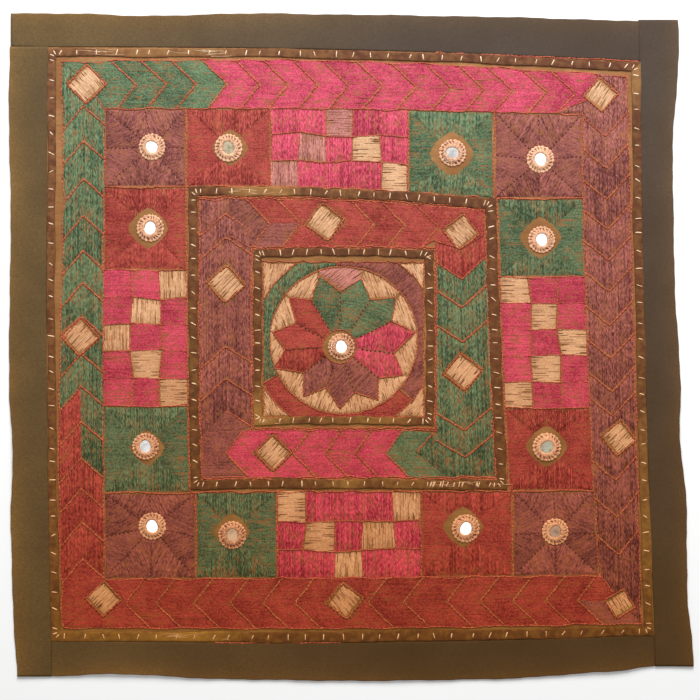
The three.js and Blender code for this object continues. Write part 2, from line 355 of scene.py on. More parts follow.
# The tints of painted shade at the bottom edge, for the olive and for the charcoal.
OLIVE_PAINTED_SHADE = (0.84, 0.72, 0.52, 1.0)
CHARCOAL_PAINTED_SHADE = (1.0, 0.7, 0.29, 1.0)
HEM_FADE = 10 * MM
HEM_TINT = (1.75, 1.5, 1.1, 1.0)
BORDER_THREADS_PER_METRE = 1700
# The waves of the hem turn with the place along the side, where 0 and 1 are its corners, and with the side's
# number. The ripples of the face turn with the metres along the strip and in from the hem, and with the
# side's number, and the puckers at the seam with the metres along and the side's number.
HEM_WAVES = [{"height": 0.25 * MM, "turns": (61, 1)}, {"height": 0.15 * MM, "turns": (173, 2)}]
FACE_RIPPLES = [
    {"height": 0.08 * MM, "turns": (57, 120, 3)},
    {"height": 0.08 * MM, "turns": (57, -120, 3)},
    {"height": 0.096 * MM, "turns": (131, 90, 0)},
]
SEAM_PUCKERS = [{"height": 0.16 * MM, "turns": (640, 1)}]
# What makes the dark cotton uneven: broad soft clouds, and a fine grain along each thread.
BORDER_CLOUDS = [
    {"per_metre": 14, "stretch": (1, 1, 1), "high": 0.34},
    {"per_metre": 1300, "stretch": (1, 0.3, 1), "high": 0.3},
    {"per_metre": 1300, "stretch": (0.3, 1, 1), "high": 0.3},
]
# Each strip's sections, in columns: their places along the ground's side, where 0 and 1 are the corners
# going anticlockwise, the strip's width there, and how far its hem lifts off the table, both in
# millimetres.
BORDER_STRIPS = {
    "border_bottom": {
        "side": BOTTOM,
        "along": (0.0, 0.11, 0.3, 0.55, 0.75, 0.92, 1.0),
        "width": (35.3, 31.9, 36.2, 38, 38.6, 34.8, 31),
        "lift": (0, 1.6, 0, 0.6, 0, 1.2, 0),
    },
    "border_right": {
        "side": RIGHT,
        "along": (-0.054, 0.07, 0.24, 0.34, 0.44, 0.62, 0.83, 1.035, 1.071),
        "width": (38.4, 34.2, 36.6, 31.8, 34.5, 31.2, 31.2, 39.5, 39.5),
        "lift": (0, 0.8, 0, 2, 0.4, 0, 1, 0, 0),
    },
    "border_top": {
        "side": TOP,
        "along": (0.0, 0.15, 0.4, 0.54, 0.62, 0.84, 0.96, 1.063),
        "width": (39.6, 38.2, 36, 34.6, 34.9, 30.8, 33.4, 32.8),
        "lift": (0, 0.8, 0, 0.6, 0, 1.8, 0, 0),
    },
    "border_left": {
        "side": LEFT,
        "along": (0.0, 0.08, 0.3, 0.57, 0.69, 0.79, 0.96, 1.06),
        "width": (38.4, 38.6, 35.2, 37.4, 34.2, 37.8, 37.4, 34.4),
        "lift": (0, 0.6, 1.4, 0, 2.2, 0.3, 0, 0),
    },
}


def eased_along(row, along, column):
    """A strip's width or lift at places along it, eased from one section's value to the next one's."""
    places, values = np.array(row["along"]), np.array(row[column]) * MM
    low = np.clip(np.searchsorted(places, along) - 1, 0, len(places) - 2)
    share = np.clip((along - places[low]) / (places[low + 1] - places[low]), 0, 1)
    return values[low] + (values[low + 1] - values[low]) * share**2 * (3 - 2 * share)


def border_sections(row):
    """A strip's sections from its hem in to its seam and back underneath. The hem wanders by two waves and
    is a half round fold, the seam edge rolls down, and the face ripples gently and is puckered along the
    seam. The hem rises by the lift times the square of the way out. With them, how near each point is to
    the hem."""
    side, corners = row["side"], SQUARES["ground"]["corners"]
    length = np.linalg.norm(corners[(side + 1) % 4] - corners[side])
    start, end = row["along"][0], row["along"][-1]
    along = np.linspace(start, end, int((end - start) * length / BORDER_STATION) + 1)[:, None]
    width = eased_along(row, along, "width") + BORDER_SEAM_LAP + wavy(HEM_WAVES, along, side)
    hem_edge = np.broadcast_to(HEM_POINTS, (len(along), len(HEM_POINTS)))
    face_points = HEM_POINTS[-1] + (width - HEM_POINTS[-1] - SEAM_POINTS[0]) * FACE_POINTS
    from_hem = np.concatenate([hem_edge, face_points, width - SEAM_POINTS], 1)
    fold = np.sqrt(1 - (1 - np.clip(from_hem / FOLD_RADIUS, 0, 1)) ** 2)
    roll = np.sqrt(1 - (1 - np.clip((width - from_hem) / SEAM_ROLL, 0, 1)) ** 2)
    travel = along * length
    ripple = wavy(FACE_RIPPLES, travel, from_hem, side)
    pucker = wavy(SEAM_PUCKERS, travel, side) * np.exp(-(width - from_hem) / SEAM_PUCKER_REACH)
    face = 0.5 * BORDER_THICKNESS * (1 + fold) - SEAM_DROP * BORDER_THICKNESS * (1 - roll)
    face = face + fold * roll * (ripple + pucker)
    back = 0.5 * BORDER_THICKNESS * (1 - fold)
    lift = eased_along(row, along, "lift") * (1 - from_hem / width) ** 2
    flat = on_side(SQUARES["ground"], side, along)
    flat = flat + OUTWARD[side] * (width - from_hem - BORDER_SEAM_LAP)[..., None]
    top = np.dstack([flat, face + lift])
    under = np.dstack([flat, back + lift])
    hem = np.exp(-from_hem / HEM_FADE)
    return np.concatenate([top, under[:, ::-1]], 1)[None], np.concatenate([hem, hem[:, ::-1]], 1)


def mark(piece, name, values, kind="FLOAT", key="value"):
    """A number for each point of a piece, or three, which its material reads by name."""
    layer = piece.data.attributes.new(name, kind, "POINT")
    layer.data.foreach_set(key, np.asarray(values, np.float32).ravel())


def read_mark(tree, name, output="Fac"):
    """A mark of the piece's points, as a material reads it."""
    return node(tree, "ShaderNodeAttribute", {}, attribute_name=name).outputs[output]


def dark_cotton():
    """Dark cotton: olive brown on the left, partly faded and partly painted warm light, changing to charcoal
    on the right, and warmer towards the hem. It is uneven in broad soft clouds and in a fine grain, with the
    bump of a close plain weave and painted shade towards the bottom edge."""
    material, tree, shader = new_finish("dark_cotton", roughness=0.88, gloss=0.1)
    place = place_on_cloth(tree)
    sideways = way_between(tree, one_of(tree, place, "X"), OLIVE_UP_TO_X, CHARCOAL_FROM_X)
    colour = mixed(tree, sideways, shade(*BORDER_OLIVE), shade(*BORDER_CHARCOAL))
    tint = mixed(tree, read_mark(tree, "hem"), UNTINTED, HEM_TINT)
    colour = mixed(tree, 1.0, colour, tint, "MULTIPLY")
    for row in BORDER_CLOUDS:
        colour = mixed(tree, mottled(tree, place, low=0.0, **row), colour, shade(*BORDER_SHADOW))
    lowest = mixed(tree, sideways, OLIVE_PAINTED_SHADE, CHARCOAL_PAINTED_SHADE)
    woven(tree, shader, colour, lowest, BORDER_THREADS_PER_METRE)
    return material


border_finish = dark_cotton()
for strip_name, row in BORDER_STRIPS.items():
    sections, hem = border_sections(row)
    strip = new_piece(strip_name + "_strip", carried(sections), border_finish)
    mark(strip, "hem", hem)
    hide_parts(strip_name)

# Couched strips
# Three frames of narrow dark cotton strip, folded and laid on the ground with cream tacking stitches over
# them. The strip bulges between the stitches, and in places it has worn through to its pale inner threads.
STRIP_THICKNESS = 1.0 * MM
STRIP_FOOT = 0.25 * MM
STRIP_TACKED_HEIGHT = 0.78 * STRIP_THICKNESS
STEPS_PER_TACK = 8
PINCH_REACH = 2.4 * MM
PINCH_WIDTH = 0.05
PINCH_HEIGHT = 0.2
# How the strip's width varies, as a share of it, and how its path wanders: waves that turn with the place
# round the frame, where each side counts as 1.
STRIP_WIDTH_WAVES = [{"height": 0.05, "turns": (23,)}, {"height": 0.05, "turns": (51,), "start": 1.0}]
STRIP_WANDER = [{"height": 0.4 * MM, "turns": (17,), "start": 0.5}, {"height": 0.3 * MM, "turns": (39,)}]
# The strip's section, in columns: shares of its width across, and of its thickness up.
STRIP_SECTION = {
    "across": np.array((0.5, 0.47, 0.36, 0.12, -0.12, -0.36, -0.47, -0.5)),
    "up": np.array((0.0, 0.75, 1.0, 0.96, 0.96, 1.0, 0.75, 0.0)),
}
STRIP_DARK = (99, 62, 45)
STRIP_RUBBED = (115, 72, 51)
STRIP_FADED = (166, 122, 76)
# The tint of painted shade at the bottom edge, for the strip.
STRIP_PAINTED_SHADE = (1.0, 0.84, 0.29, 1.0)
STRIP_RAGGED = 0.18
# Each frame's layout square, how many tacks hold each side, and its width on the four sides in millimetres.
COUCHED_STRIPS = {
    "couched_strip_outer": {"square": "outer_strip", "tacks": 32, "widths": (11, 9.5, 9, 8.2)},
    "couched_strip_middle": {"square": "middle_strip", "tacks": 19, "widths": (10, 11.5, 9.5, 10)},
    "couched_strip_inner": {"square": "inner_strip", "tacks": 12, "widths": (8, 9, 8, 9)},
}
# How far the strips have faded to tan along each side, from 0 to 1: pairs of the place along the side and
# the fading there.
FADED = {
    "couched_strip_outer": {
        BOTTOM: ((0, 0.4), (0.15, 0.4), (0.22, 0.9), (0.28, 0.6), (0.33, 0.06), (1, 0.06)),
        RIGHT: ((0, 0.14), (0.16, 0.45), (0.34, 0.35), (0.42, 0.1), (0.92, 0.06), (0.96, 0.7), (1, 0.7)),
        TOP: ((0, 0.08), (0.4, 0.12), (0.5, 0.15), (0.66, 0.3), (0.72, 0.55), (0.86, 0.55), (0.92, 0.3),
              (1, 0.2)),
        LEFT: ((0, 0.25), (0.1, 0.18), (0.6, 0.12), (0.7, 0.15), (0.85, 0.2), (0.92, 0.1), (1, 0.3)),
    },
    "couched_strip_middle": {
        BOTTOM: ((0, 0), (0.42, 0.05), (0.5, 0.7), (0.57, 0.1), (0.72, 0.4), (0.8, 0.08), (1, 0.1)),
        RIGHT: ((0, 0.06), (1, 0)),
        TOP: ((0, 0), (0.36, 0.05), (0.5, 0.25), (0.62, 0.14), (0.7, 0.8), (0.84, 0.8), (0.9, 0.1),
              (1, 0.1)),
        LEFT: ((0, 0.08), (0.55, 0.08), (0.6, 0.2), (0.68, 0.05), (1, 0)),
    },
    "couched_strip_inner": {
        BOTTOM: ((0, 0.9), (0.12, 0.5), (0.3, 0.1), (0.5, 0.4), (0.75, 0.5), (0.9, 0.05), (1, 0.1)),
        RIGHT: ((0, 0.1), (1, 0.05)),
        TOP: ((0, 0.03), (1, 0.05)),
        LEFT: ((0, 0.12), (0.25, 0.04), (0.75, 0.04), (0.88, 0.6), (1, 0.9)),
    },
}
TACK_CREAM = (252, 228, 196)
TACK_SHADOW = (214, 172, 130)
TACK_WIDTH = 1.25 * MM
TACK_WIDTH_VARIES = (0.75, 1.2)
TACK_HEIGHT = 0.6 * MM
TACK_TONES = (0.4, 1)
TACK_UNEVEN = 0.09
TACK_REACH = (2.4 * MM, 3.6 * MM)
TACK_SLANT = 10
TACK_SLANT_VARIES = 14
CORNER_TACK_TURNS = (25, 62)
CORNER_TACK_REACH = 2.8 * MM
CORNER_TACK_APART = 2.6 * MM
CORNER_TACK_JITTER = 12
# The stretch of the middle frame's lower side that was mended with close tacks, and how they lean.
CLOSE_TACKS = (0.76, 0.99)
CLOSE_TACK_COUNT = 11
CLOSE_TACK_LEAN = (1.0 * MM, 3.0 * MM)
CLOSE_TACK_VARIES = (0.7, 1.3)
FRAYS = 8
FRAY_SWAY = 0.06
FRAY_WIDTH = 0.4 * MM
FRAY_ASIDE = 3 * MM
FRAY_DRIFT = 1.5 * MM
FRAY_LENGTHS = (0.12, 0.35)
FRAY_TONES = (0, 0.6)
# Where a strip is worn through and its threads stick out: the frame, the side, and the stretch of it.
FRAYED_PLACES = [
    {"frame": "couched_strip_outer", "side": TOP, "start": 0.84, "end": 0.95},
    {"frame": "couched_strip_outer", "side": TOP, "start": 0.66, "end": 0.78},
    {"frame": "couched_strip_outer", "side": BOTTOM, "start": 0.17, "end": 0.29},
    {"frame": "couched_strip_middle", "side": TOP, "start": 0.68, "end": 0.86},
    {"frame": "couched_strip_middle", "side": BOTTOM, "start": 0.7, "end": 0.98},
    {"frame": "couched_strip_inner", "side": BOTTOM, "start": 0.02, "end": 0.14},
]
# A stitch at its five stations, in columns: how far it is lifted and bent aside, and how thick it is.
STITCH = {
    "lifted": np.array((0.1, 1.0, 1.0, 1.0, 0.1)),
    "bent": np.array((0.0, 0.4, 1.0, 0.4, 0.0)),
    "girth": np.array((0.6, 1.0, 1.0, 1.0, 0.6)),
}
STITCH_RISE = 1.5 * MM
STITCH_RISE_MOST = 0.3
STITCH_SUNK = 0.1 * MM
FIBRES_APART = 1.7
WAVES_PER_METRE = 230
# How often the painted glints and shade along a thread come and go, a metre.
PAINTED_GLINTS_PER_METRE = 230
THIN_PER_METRE = 90
STITCHES_UNLIKE = 2.3
SLIVERS_UNLIKE = 3.3
CLOUDS_PER_METRE = 50
FUZZ_PER_METRE = 700
THIN_CLOUDS = 0.5
THIN_FROM = 0.66
THIN_EASE = 0.2
THINNEST = 0.72
BARE = (150, 98, 60)
# How far the painted glints and shade along a thread move its tone; then the broad clouds, the fine fuzz,
# and how much painted glint and shade a plain thread shows.
TONE_VARIES = 0.42
TONE_CLOUDS = 0.14
TONE_FUZZ = 0.5
PLAIN_PAINTED_GLINT = 0.3


def tack_shares(count):
    """Where the tacking stitches are along a side: even steps, each moved a little by hand."""
    return (np.arange(count) + 0.5 + chance.normal(0, TACK_UNEVEN, count)) / count


def strip_sections(square, widths, tacks):
    """A flat section with rounded edges carried round a square. Its width goes from one side's to the next
    one's, wanders a little, and draws in near every tack by a bell of its distance, as its height does."""
    stations = STEPS_PER_TACK * tacks.shape[1]
    around = np.arange(4 * stations) / stations
    side = around.astype(int)
    share = around - side
    corners = square["corners"]
    length = np.linalg.norm(np.roll(corners, -1, 0) - corners, axis=1)[side]
    away = np.abs(share[:, None] - tacks[side]) * length[:, None]
    pinch = np.exp(-((away / PINCH_REACH) ** 2)).max(1)
    width = np.interp(around, np.arange(4) + 0.5, np.array(widths) * MM, period=4)
    width = width * (1 + wavy(STRIP_WIDTH_WAVES, around) - PINCH_WIDTH * pinch)
    height = STRIP_THICKNESS * (1.0 - PINCH_HEIGHT * pinch)
    grow = wavy(STRIP_WANDER, around)[:, None] + STRIP_SECTION["across"] * width[:, None]
    flat = on_side(square, side[:, None], share[:, None], grow)
    foot = lie(flat[..., 0], flat[..., 1]) + STRIP_FOOT
    return np.dstack([flat, foot + STRIP_SECTION["up"] * height[:, None]])[None], side, share


def strip_cotton():
    """Dark cotton strip, rubbed in small patches, and turned to ragged tan where its faded mark is high."""
    material, tree, shader = new_finish("strip_cotton", roughness=0.85, gloss=0.12)
    place = place_on_cloth(tree)
    rubbed = ranged(tree, cloudy(tree, place, per_metre=160), low=0.35, high=0.7)
    colour = mixed(tree, rubbed, shade(*STRIP_DARK), shade(*STRIP_RUBBED))
    ragged = mottled(tree, place, per_metre=170, low=-STRIP_RAGGED, high=STRIP_RAGGED, detail=3.0)
    faded = reckoned(tree, "ADD", read_mark(tree, "faded"), ragged, clamp=True)
    colour = mixed(tree, faded, colour, shade(*STRIP_FADED))
    woven(tree, shader, colour, STRIP_PAINTED_SHADE, GROUND_THREADS_PER_METRE, strength=0.6, depth=0.25 * MM)
    return material


def thread_sections(
    starts, ends, width, height, base=lie, slack=0.0, crown=0.28, sway=0.007, rise=STITCH_RISE
):
    """Raised strips of thread, one for each stitch from its start to its end. A stitch comes up out of the
    cloth within its rise, or a share of its length if that is less, runs flat with a sway, and goes down
    again. Its section is a low arch, flat for the crown's share to each side, narrower at the ends and, by
    the slack, in the middle. base gives the height that it lies on."""
    run = ends - starts
    length = np.linalg.norm(run, axis=1)[:, None]
    along = run / length
    aside = np.stack([-along[:, 1], along[:, 0]], 1)
    rise = np.minimum(rise, STITCH_RISE_MOST * length)
    travel = np.concatenate([0 * length, rise, length / 2, length - rise, length], 1)
    girth = STITCH["girth"] - np.reshape(slack, (-1, 1)) * STITCH["bent"]
    sway = chance.normal(0, sway, length.shape) * length * STITCH["bent"]
    middle = starts[:, None] + along[:, None] * travel[..., None] + aside[:, None] * sway[..., None]
    foot = base(middle[..., 0], middle[..., 1]) - STITCH_SUNK
    across = np.array((-0.5, -crown, crown, 0.5))
    arch = np.array((0.0, 1.0, 1.0, 0.0))
    out = across * (girth * np.reshape(width, (-1, 1)))[..., None]
    flat = middle[:, :, None] + aside[:, None, None] * out[..., None]
    up = foot[..., None] + arch * (STITCH["lifted"] * np.reshape(height, (-1, 1)))[..., None]
    return np.concatenate([flat, up[..., None]], -1)


def thread_finish(
    name, deep, pale, roughness, gloss, waves=0.4, thin=0.0, glint=(255, 255, 255), lowest=PAINTED_SHADE_TINT
):
    """A thread's finish: from its deep to its pale colour by each stitch's own tone, varied by broad
    clouds, along the stitch by painted glints and shade that are strongest where it runs up the cloth
    towards the light, and by a fine fuzz where they do not show. The thread waves, to a height in
    millimetres, so that it glints and darkens where it runs towards the light. The larger thin is, the more
    the ground shows through it, in slivers along the stitches that thicken in clouds."""
    material, tree, shader = new_finish(name, roughness, gloss)
    shader.inputs["Specular Tint"].default_value = shade(*glint)
    place = place_on_cloth(tree)
    fibre = read_mark(tree, "fibre", "Vector")
    painted_glint = one_of(tree, fibre, "Y")
    clouds = mottled(tree, place, CLOUDS_PER_METRE, -TONE_CLOUDS, TONE_CLOUDS)
    tone = reckoned(tree, "ADD", read_mark(tree, "tone"), clouds)
    fuzz = mottled(tree, place, FUZZ_PER_METRE, -TONE_FUZZ, TONE_FUZZ)
    tone = reckoned(tree, "MULTIPLY_ADD", fuzz, reckoned(tree, "SUBTRACT", 1.0, painted_glint), tone)
    stretch = (PAINTED_GLINTS_PER_METRE, 0, STITCHES_UNLIKE)
    painted_dashes = mottled(tree, fibre, 1.0, -TONE_VARIES, TONE_VARIES, detail=3.0, stretch=stretch)
    tone = reckoned(tree, "MULTIPLY_ADD", painted_dashes, painted_glint, tone, clamp=True)
    colour = mixed(tree, tone, shade(*deep), shade(*pale))
    if thin:
        stretch = (THIN_PER_METRE, 0, SLIVERS_UNLIKE)
        slivers = cloudy(tree, fibre, per_metre=1.0, detail=1.0, stretch=stretch)
        thinned = cloudy(tree, place, CLOUDS_PER_METRE)
        slivers = reckoned(tree, "MULTIPLY_ADD", thinned, THIN_CLOUDS, slivers)
        least = THIN_FROM + THIN_CLOUDS / 2 - thin
        bare = ranged(tree, slivers, least, least + THIN_EASE, 0.0, THINNEST)
        colour = mixed(tree, bare, colour, shade(*BARE))
    tree.links.new(with_painted_shade(tree, colour, lowest), shader.inputs["Base Color"])
    wave = mottled(tree, fibre, 1.0, low=0.0, high=1.0, detail=0.0, stretch=(WAVES_PER_METRE, 0, 1))
    inputs = {"Height": reckoned(tree, "MULTIPLY", wave, painted_glint), "Strength": 1.0, "Distance": waves * MM}
    tree.links.new(node(tree, "ShaderNodeBump", inputs).outputs[0], shader.inputs["Normal"])
    return material


def thread_piece(name, shape, sections, tone, material, painted_glint=PLAIN_PAINTED_GLINT):
    """A piece of many stitches. Each point carries its stitch's tone, its place along the thread, and how
    much painted glint and shade shows on its stitch."""
    piece = new_piece(name, shape, material)
    count, stations, corners = sections.shape[:3]
    mark(piece, "tone", np.repeat(tone, stations * corners))
    steps = np.diff(sections[:, :, 0], axis=1, prepend=sections[:, :1, 0])
    travel = np.linalg.norm(steps, axis=-1).cumsum(1)
    painted_glint = np.broadcast_to(painted_glint, count)[:, None, None]
    apart = FIBRES_APART * np.arange(count)[:, None, None]
    fibre = np.broadcast_arrays(travel[..., None], painted_glint, apart, np.zeros(corners))[:3]
    mark(piece, "fibre", np.stack(fibre, -1), "FLOAT_VECTOR", "vector")
    return piece


def over_strip(x, y):
    """The height that a tacking stitch lies on: the drawn-in crown of the couched strip."""
    return lie(x, y) + STRIP_FOOT + STRIP_TACKED_HEIGHT


strip_finish = strip_cotton()
tack_starts, tack_ends, fray_starts, fray_ends = [], [], [], []
couched_pieces = []
for frame_name, row in COUCHED_STRIPS.items():
    path = SQUARES[row["square"]]
    places = np.array([tack_shares(row["tacks"]) for _ in range(4)])
    sections, sides, shares = strip_sections(path, row["widths"], places)
    shape = carried(sections, closed_path=True)
    strip = new_piece(frame_name + "_cloth", shape, strip_finish)
    fading = [np.array(FADED[frame_name][side]).T for side in range(4)]
    faded = np.choose(sides, [np.interp(shares, *along) for along in fading])
    mark(strip, "faded", np.repeat(faded, sections.shape[2]))
    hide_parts(frame_name)
    couched_pieces.append(strip)
    for side in range(4):
        middle = on_side(path, side, places[side])
        slant = np.radians(chance.normal(TACK_SLANT, TACK_SLANT_VARIES, len(middle)))[:, None]
        inward = -OUTWARD[side]
        sideways = np.array((inward[1], -inward[0]))
        reach = inward * np.cos(slant) + sideways * np.sin(slant)
        reach = reach * chance.uniform(*TACK_REACH, (len(middle), 1))
        tack_starts.append(middle - reach)
        tack_ends.append(middle + reach)
        turns = np.array(CORNER_TACK_TURNS) + 90 * side + chance.normal(0, CORNER_TACK_JITTER, 2)
        turns = np.radians(turns)[:, None]
        fan = np.concatenate([np.cos(turns), np.sin(turns)], 1) * CORNER_TACK_REACH
        corner = path["corners"][side] - np.array((OUTWARD[side], OUTWARD[side - 1])) * CORNER_TACK_APART
        tack_starts.append(corner - fan)
        tack_ends.append(corner + fan)
        if frame_name == "couched_strip_middle" and side == BOTTOM:
            close = on_side(path, side, chance.uniform(*CLOSE_TACKS, CLOSE_TACK_COUNT))
            lean = CLOSE_TACK_LEAN * chance.uniform(*CLOSE_TACK_VARIES, (CLOSE_TACK_COUNT, 2))
            tack_starts.append(close - lean)
            tack_ends.append(close + lean)
    for hole in (hole for hole in FRAYED_PLACES if hole["frame"] == frame_name):
        begin = chance.uniform(hole["start"], hole["end"], FRAYS)
        end = begin + chance.uniform(*FRAY_LENGTHS, FRAYS) * (hole["end"] - hole["start"])
        aside = chance.uniform(-FRAY_ASIDE, FRAY_ASIDE, FRAYS)
        drifted = aside + chance.normal(0, FRAY_DRIFT, FRAYS)
        fray_starts.append(on_side(path, hole["side"], begin, aside))
        fray_ends.append(on_side(path, hole["side"], end, drifted))

cream_thread = thread_finish("cream_thread", TACK_SHADOW, TACK_CREAM, roughness=0.55, gloss=0.3)
tack_starts, tack_ends = np.concatenate(tack_starts), np.concatenate(tack_ends)
tack_widths = TACK_WIDTH * chance.uniform(*TACK_WIDTH_VARIES, len(tack_starts))
tacks = thread_sections(tack_starts, tack_ends, tack_widths, TACK_HEIGHT, over_strip)
tones = chance.uniform(*TACK_TONES, len(tacks))
tack_piece = thread_piece("tacking_stitches", carried(tacks), tacks, tones, cream_thread)
fray_starts, fray_ends = np.concatenate(fray_starts), np.concatenate(fray_ends)
frays = thread_sections(fray_starts, fray_ends, FRAY_WIDTH, FRAY_WIDTH, over_strip, sway=FRAY_SWAY)
tones = chance.uniform(*FRAY_TONES, len(frays))
fray_piece = thread_piece("frayed_threads", carried(frays), frays, tones, cream_thread)
couched_pieces += [tack_piece, fray_piece]

# Outer band
# A band of chevrons all the way round, in satin stitch of soft shiny floss worked along the band from one
# chevron line to the next, with cream diamonds let in. A rust thread is run along every line.
SATIN_CROWN = 0.4
SATIN_SLACK = 0.1
SATIN_RISE = 8 * MM
SATIN_SHORTEST = 1.2 * MM
SATIN_WIDTH_VARIES = (0.92, 1.08)
SATIN_HEIGHT_VARIES = (0.94, 1.06)
WITHOUT_MIDDLE = [0, 1, 3, 4]
FIRST_ROW = 0.55
LINE_GAP = 1.0 * MM
GAP_VARIES = (0.4, 1.6)
CORNER_GAP = -0.3 * MM
OUTLINE_STITCH = 4.2 * MM
OUTLINE_WIDTH = 1.5 * MM
OUTLINE_WIDTH_VARIES = (0.8, 1.15)
OUTLINE_HEIGHT = 1.05 * MM
OUTLINE_WANDER = 0.3 * MM
OUTLINE_TONE_VARIES = 0.12
STEM_OVERLAP = 1.3
EDGE_POINTS = 90
LINE_STEP = 0.5 * MM
# How a line along an edge wanders: waves that turn with the place along its side and the side's number.
EDGE_WANDER = [{"height": 0.6 * MM, "turns": (47, 2)}, {"height": 0.6 * MM, "turns": (83, 1)}]
# The flosses: their colours and the colour that they glint, the step from one stitch to the next, the
# thread's width, its height and the height of its waves in millimetres, how thinly it covers the ground,
# the share of stitches that have lost part of their length, the least and the most that is left of it, and
# how unevenly they are spaced. Gaps are thin dark stitches laid from one end or the other between the thick
# pale stitches, painted shade of the slits that open there.
HELD = {"left": (0.65, 0.97), "uneven": 0.05}
OPEN = {"left": (0.15, 0.85), "uneven": 0.25}
FINE = {"pitch": 1.0, "width": 1.5, "height": 0.9, "waves": 0.6, "worn": 0.01, **HELD}
SOFT = {"pitch": 1.2, "width": 1.5, "height": 0.55, "waves": 0.2, "worn": 0.15, "thin": 0.02, **HELD}
PAINTED_SHADE_GAPS = {"pitch": 2.4, "width": 0.65, "height": 0.62, "waves": 0.2, "worn": 1.0, "thin": 0.0, **OPEN}
FLOSS = {
    "green": {"deep": (58, 70, 51), "pale": (117, 139, 105), "glint": (150, 240, 200), "thin": 0.15, **FINE},
    "pink": {"deep": (145, 49, 63), "pale": (226, 93, 119), "glint": (255, 120, 180), "thin": 0.16, **FINE},
    "red": {"deep": (116, 46, 41), "pale": (188, 88, 81), "glint": (255, 130, 130), "thin": 0.11, **FINE},
    "plum": {"deep": (91, 51, 48), "pale": (171, 105, 97), "glint": (250, 170, 175), "thin": 0.14, **FINE},
    "mauve": {"deep": (159, 96, 92), "pale": (211, 148, 137), "glint": (255, 244, 232), **SOFT},
    "cream": {"deep": (190, 141, 103), "pale": (227, 188, 149), "glint": (255, 244, 232), **SOFT},
    # The gap floss is dark thread laid as painted shade in the slits between the pale stitches.
    "gap": {"deep": (84, 48, 30), "pale": (146, 94, 60), "glint": (255, 255, 255), **PAINTED_SHADE_GAPS},
}
PALE = ("mauve", "cream")
FLOSS_ROUGHNESS = 0.5
FLOSS_GLOSS = 0.16
RUST_DEEP = (152, 68, 48)
RUST_PALE = (210, 114, 82)
# The tint of painted shade at the bottom edge, for the rust thread.
RUST_PAINTED_SHADE = (0.95, 0.75, 0.5, 1.0)
DARK_THREAD_AND_SHADE_DEEP = (70, 34, 28)
DARK_THREAD_AND_SHADE_PALE = (112, 60, 48)
# How much painted glint and shade shows on stitches that run level, across the light.
LEVEL_PAINTED_GLINT = 0.35
MIDDLE_TONE = 0.5
FILL_TONE_VARIES = 0.09
TONE_UNEVEN = 0.18
DIAMOND_MARGIN = 2.8
# Where the thread that the border was sewn on with shows in the seam: the side, and the stretch of it.
SEAM_SHOWS = ((TOP, 0.0, 0.345), (BOTTOM, 0.27, 0.48))
SEAM_INSIDE = 0.7 * MM
# The dark dots round the diamonds, painted shade in the needle holes: their width, and the share of each
# step that they cover.
HOLE_SHADE_WIDTH = 0.9 * MM
HOLE_SHADE_SHOWN = 0.3
# How far behind the tip a chevron's line starts, on the outer and on the inner edge of the band.
OUTER_BAND_ARMS = (25 * MM, 19 * MM)
# The chevrons point clockwise round the cloth. tips are their points in millimetres along the side, in that
# order. cells gives the floss of the cells between them, that of their inner half where it differs, how
# many are alike, and the direction of the stitches in degrees where it is not the band's.
OUTER_CHEVRONS = [
    {
        "side": TOP,
        "tips": (-215, -185, -155, -124, -91, -63, -33, -3, 31, 65, 100, 133, 162, 196, 225),
        "cells": [{"floss": "green", "count": 4}, {"floss": "pink", "count": 12}],
    },
    {
        "side": RIGHT,
        "tips": (210, 178, 147, 117, 86, 55, 21, -12, -45, -70, -134, -171, -209),
        "cells": [{"floss": "plum", "count": 14}],
    },
    {
        "side": BOTTOM,
        "tips": (227, 195, 162, 129, 96, 53, 17, -56, -88, -121, -157, -195, -226),
        "cells": [{"floss": "plum", "inner": "red", "count": 1}, {"floss": "red", "count": 13}],
    },
    {
        "side": LEFT,
        "tips": (-213, -176, -143, -112, -75, -40, -7, 30, 64, 96, 131, 168, 206, 241),
        "cells": [
            {"floss": "red", "count": 1, "stitch": 3},
            {"floss": "red", "count": 3},
            {"floss": "red", "inner": "green", "count": 2},
            {"floss": "green", "count": 9},
        ],
    },
]
# Where one side's run meets the next at a corner, by the side that starts there: on the outer edge, in the
# middle of the band and on the inner edge, in millimetres, and the side whose cell takes in the corner.
OUTER_JOINTS = {
    TOP: {"line": ((-289.5, 284.5), (-265, 262.5), (-246.5, 238)), "corner": TOP},
    RIGHT: {"line": ((246, 273), (249, 252.5), (205, 233.5)), "corner": RIGHT},
    BOTTOM: {"line": ((290, -277), (271, -255.5), (249, -229.5)), "corner": BOTTOM},
    LEFT: {"line": ((-288, -281), (-247, -252.5), (-247, -233)), "corner": LEFT},
}
# Cream diamonds: where the middle of each is and how far its points reach, in millimetres, its turn, and
# the direction of its stitches, in degrees.
OUTER_DIAMONDS = [
    {"x": -264.5, "y": 262.5, "reach": 18.5, "turn": 0, "stitch": -48},
    {"x": 250, "y": 252, "reach": 16, "turn": 4, "stitch": 57},
    {"x": -271, "y": 10, "reach": 18, "turn": -3, "stitch": 45},
    {"x": 268, "y": -91.5, "reach": 16.5, "turn": -6, "stitch": 45},
    {"x": -247.5, "y": -252.5, "reach": 16.5, "turn": -2, "stitch": 45},
    {"x": -6, "y": -254.5, "reach": 17, "turn": 8, "stitch": -50},
    {"x": 269, "y": -257.5, "reach": 14, "turn": -12, "stitch": -60},
]


def crossings(outline, rows):
    """Where level lines cross a closed outline: for each row, its x on every edge that it crosses, sorted,
    with infinity for the edges that it misses."""
    following = np.roll(outline, -1, 0)
    low, high = outline[:, 1], following[:, 1]
    rows = rows[:, None]
    met = (low <= rows) != (high <= rows)
    share = (rows - low) / np.where(met, high - low, 1)
    return np.sort(np.where(met, outline[:, 0] + share * (following[:, 0] - outline[:, 0]), np.inf), 1)


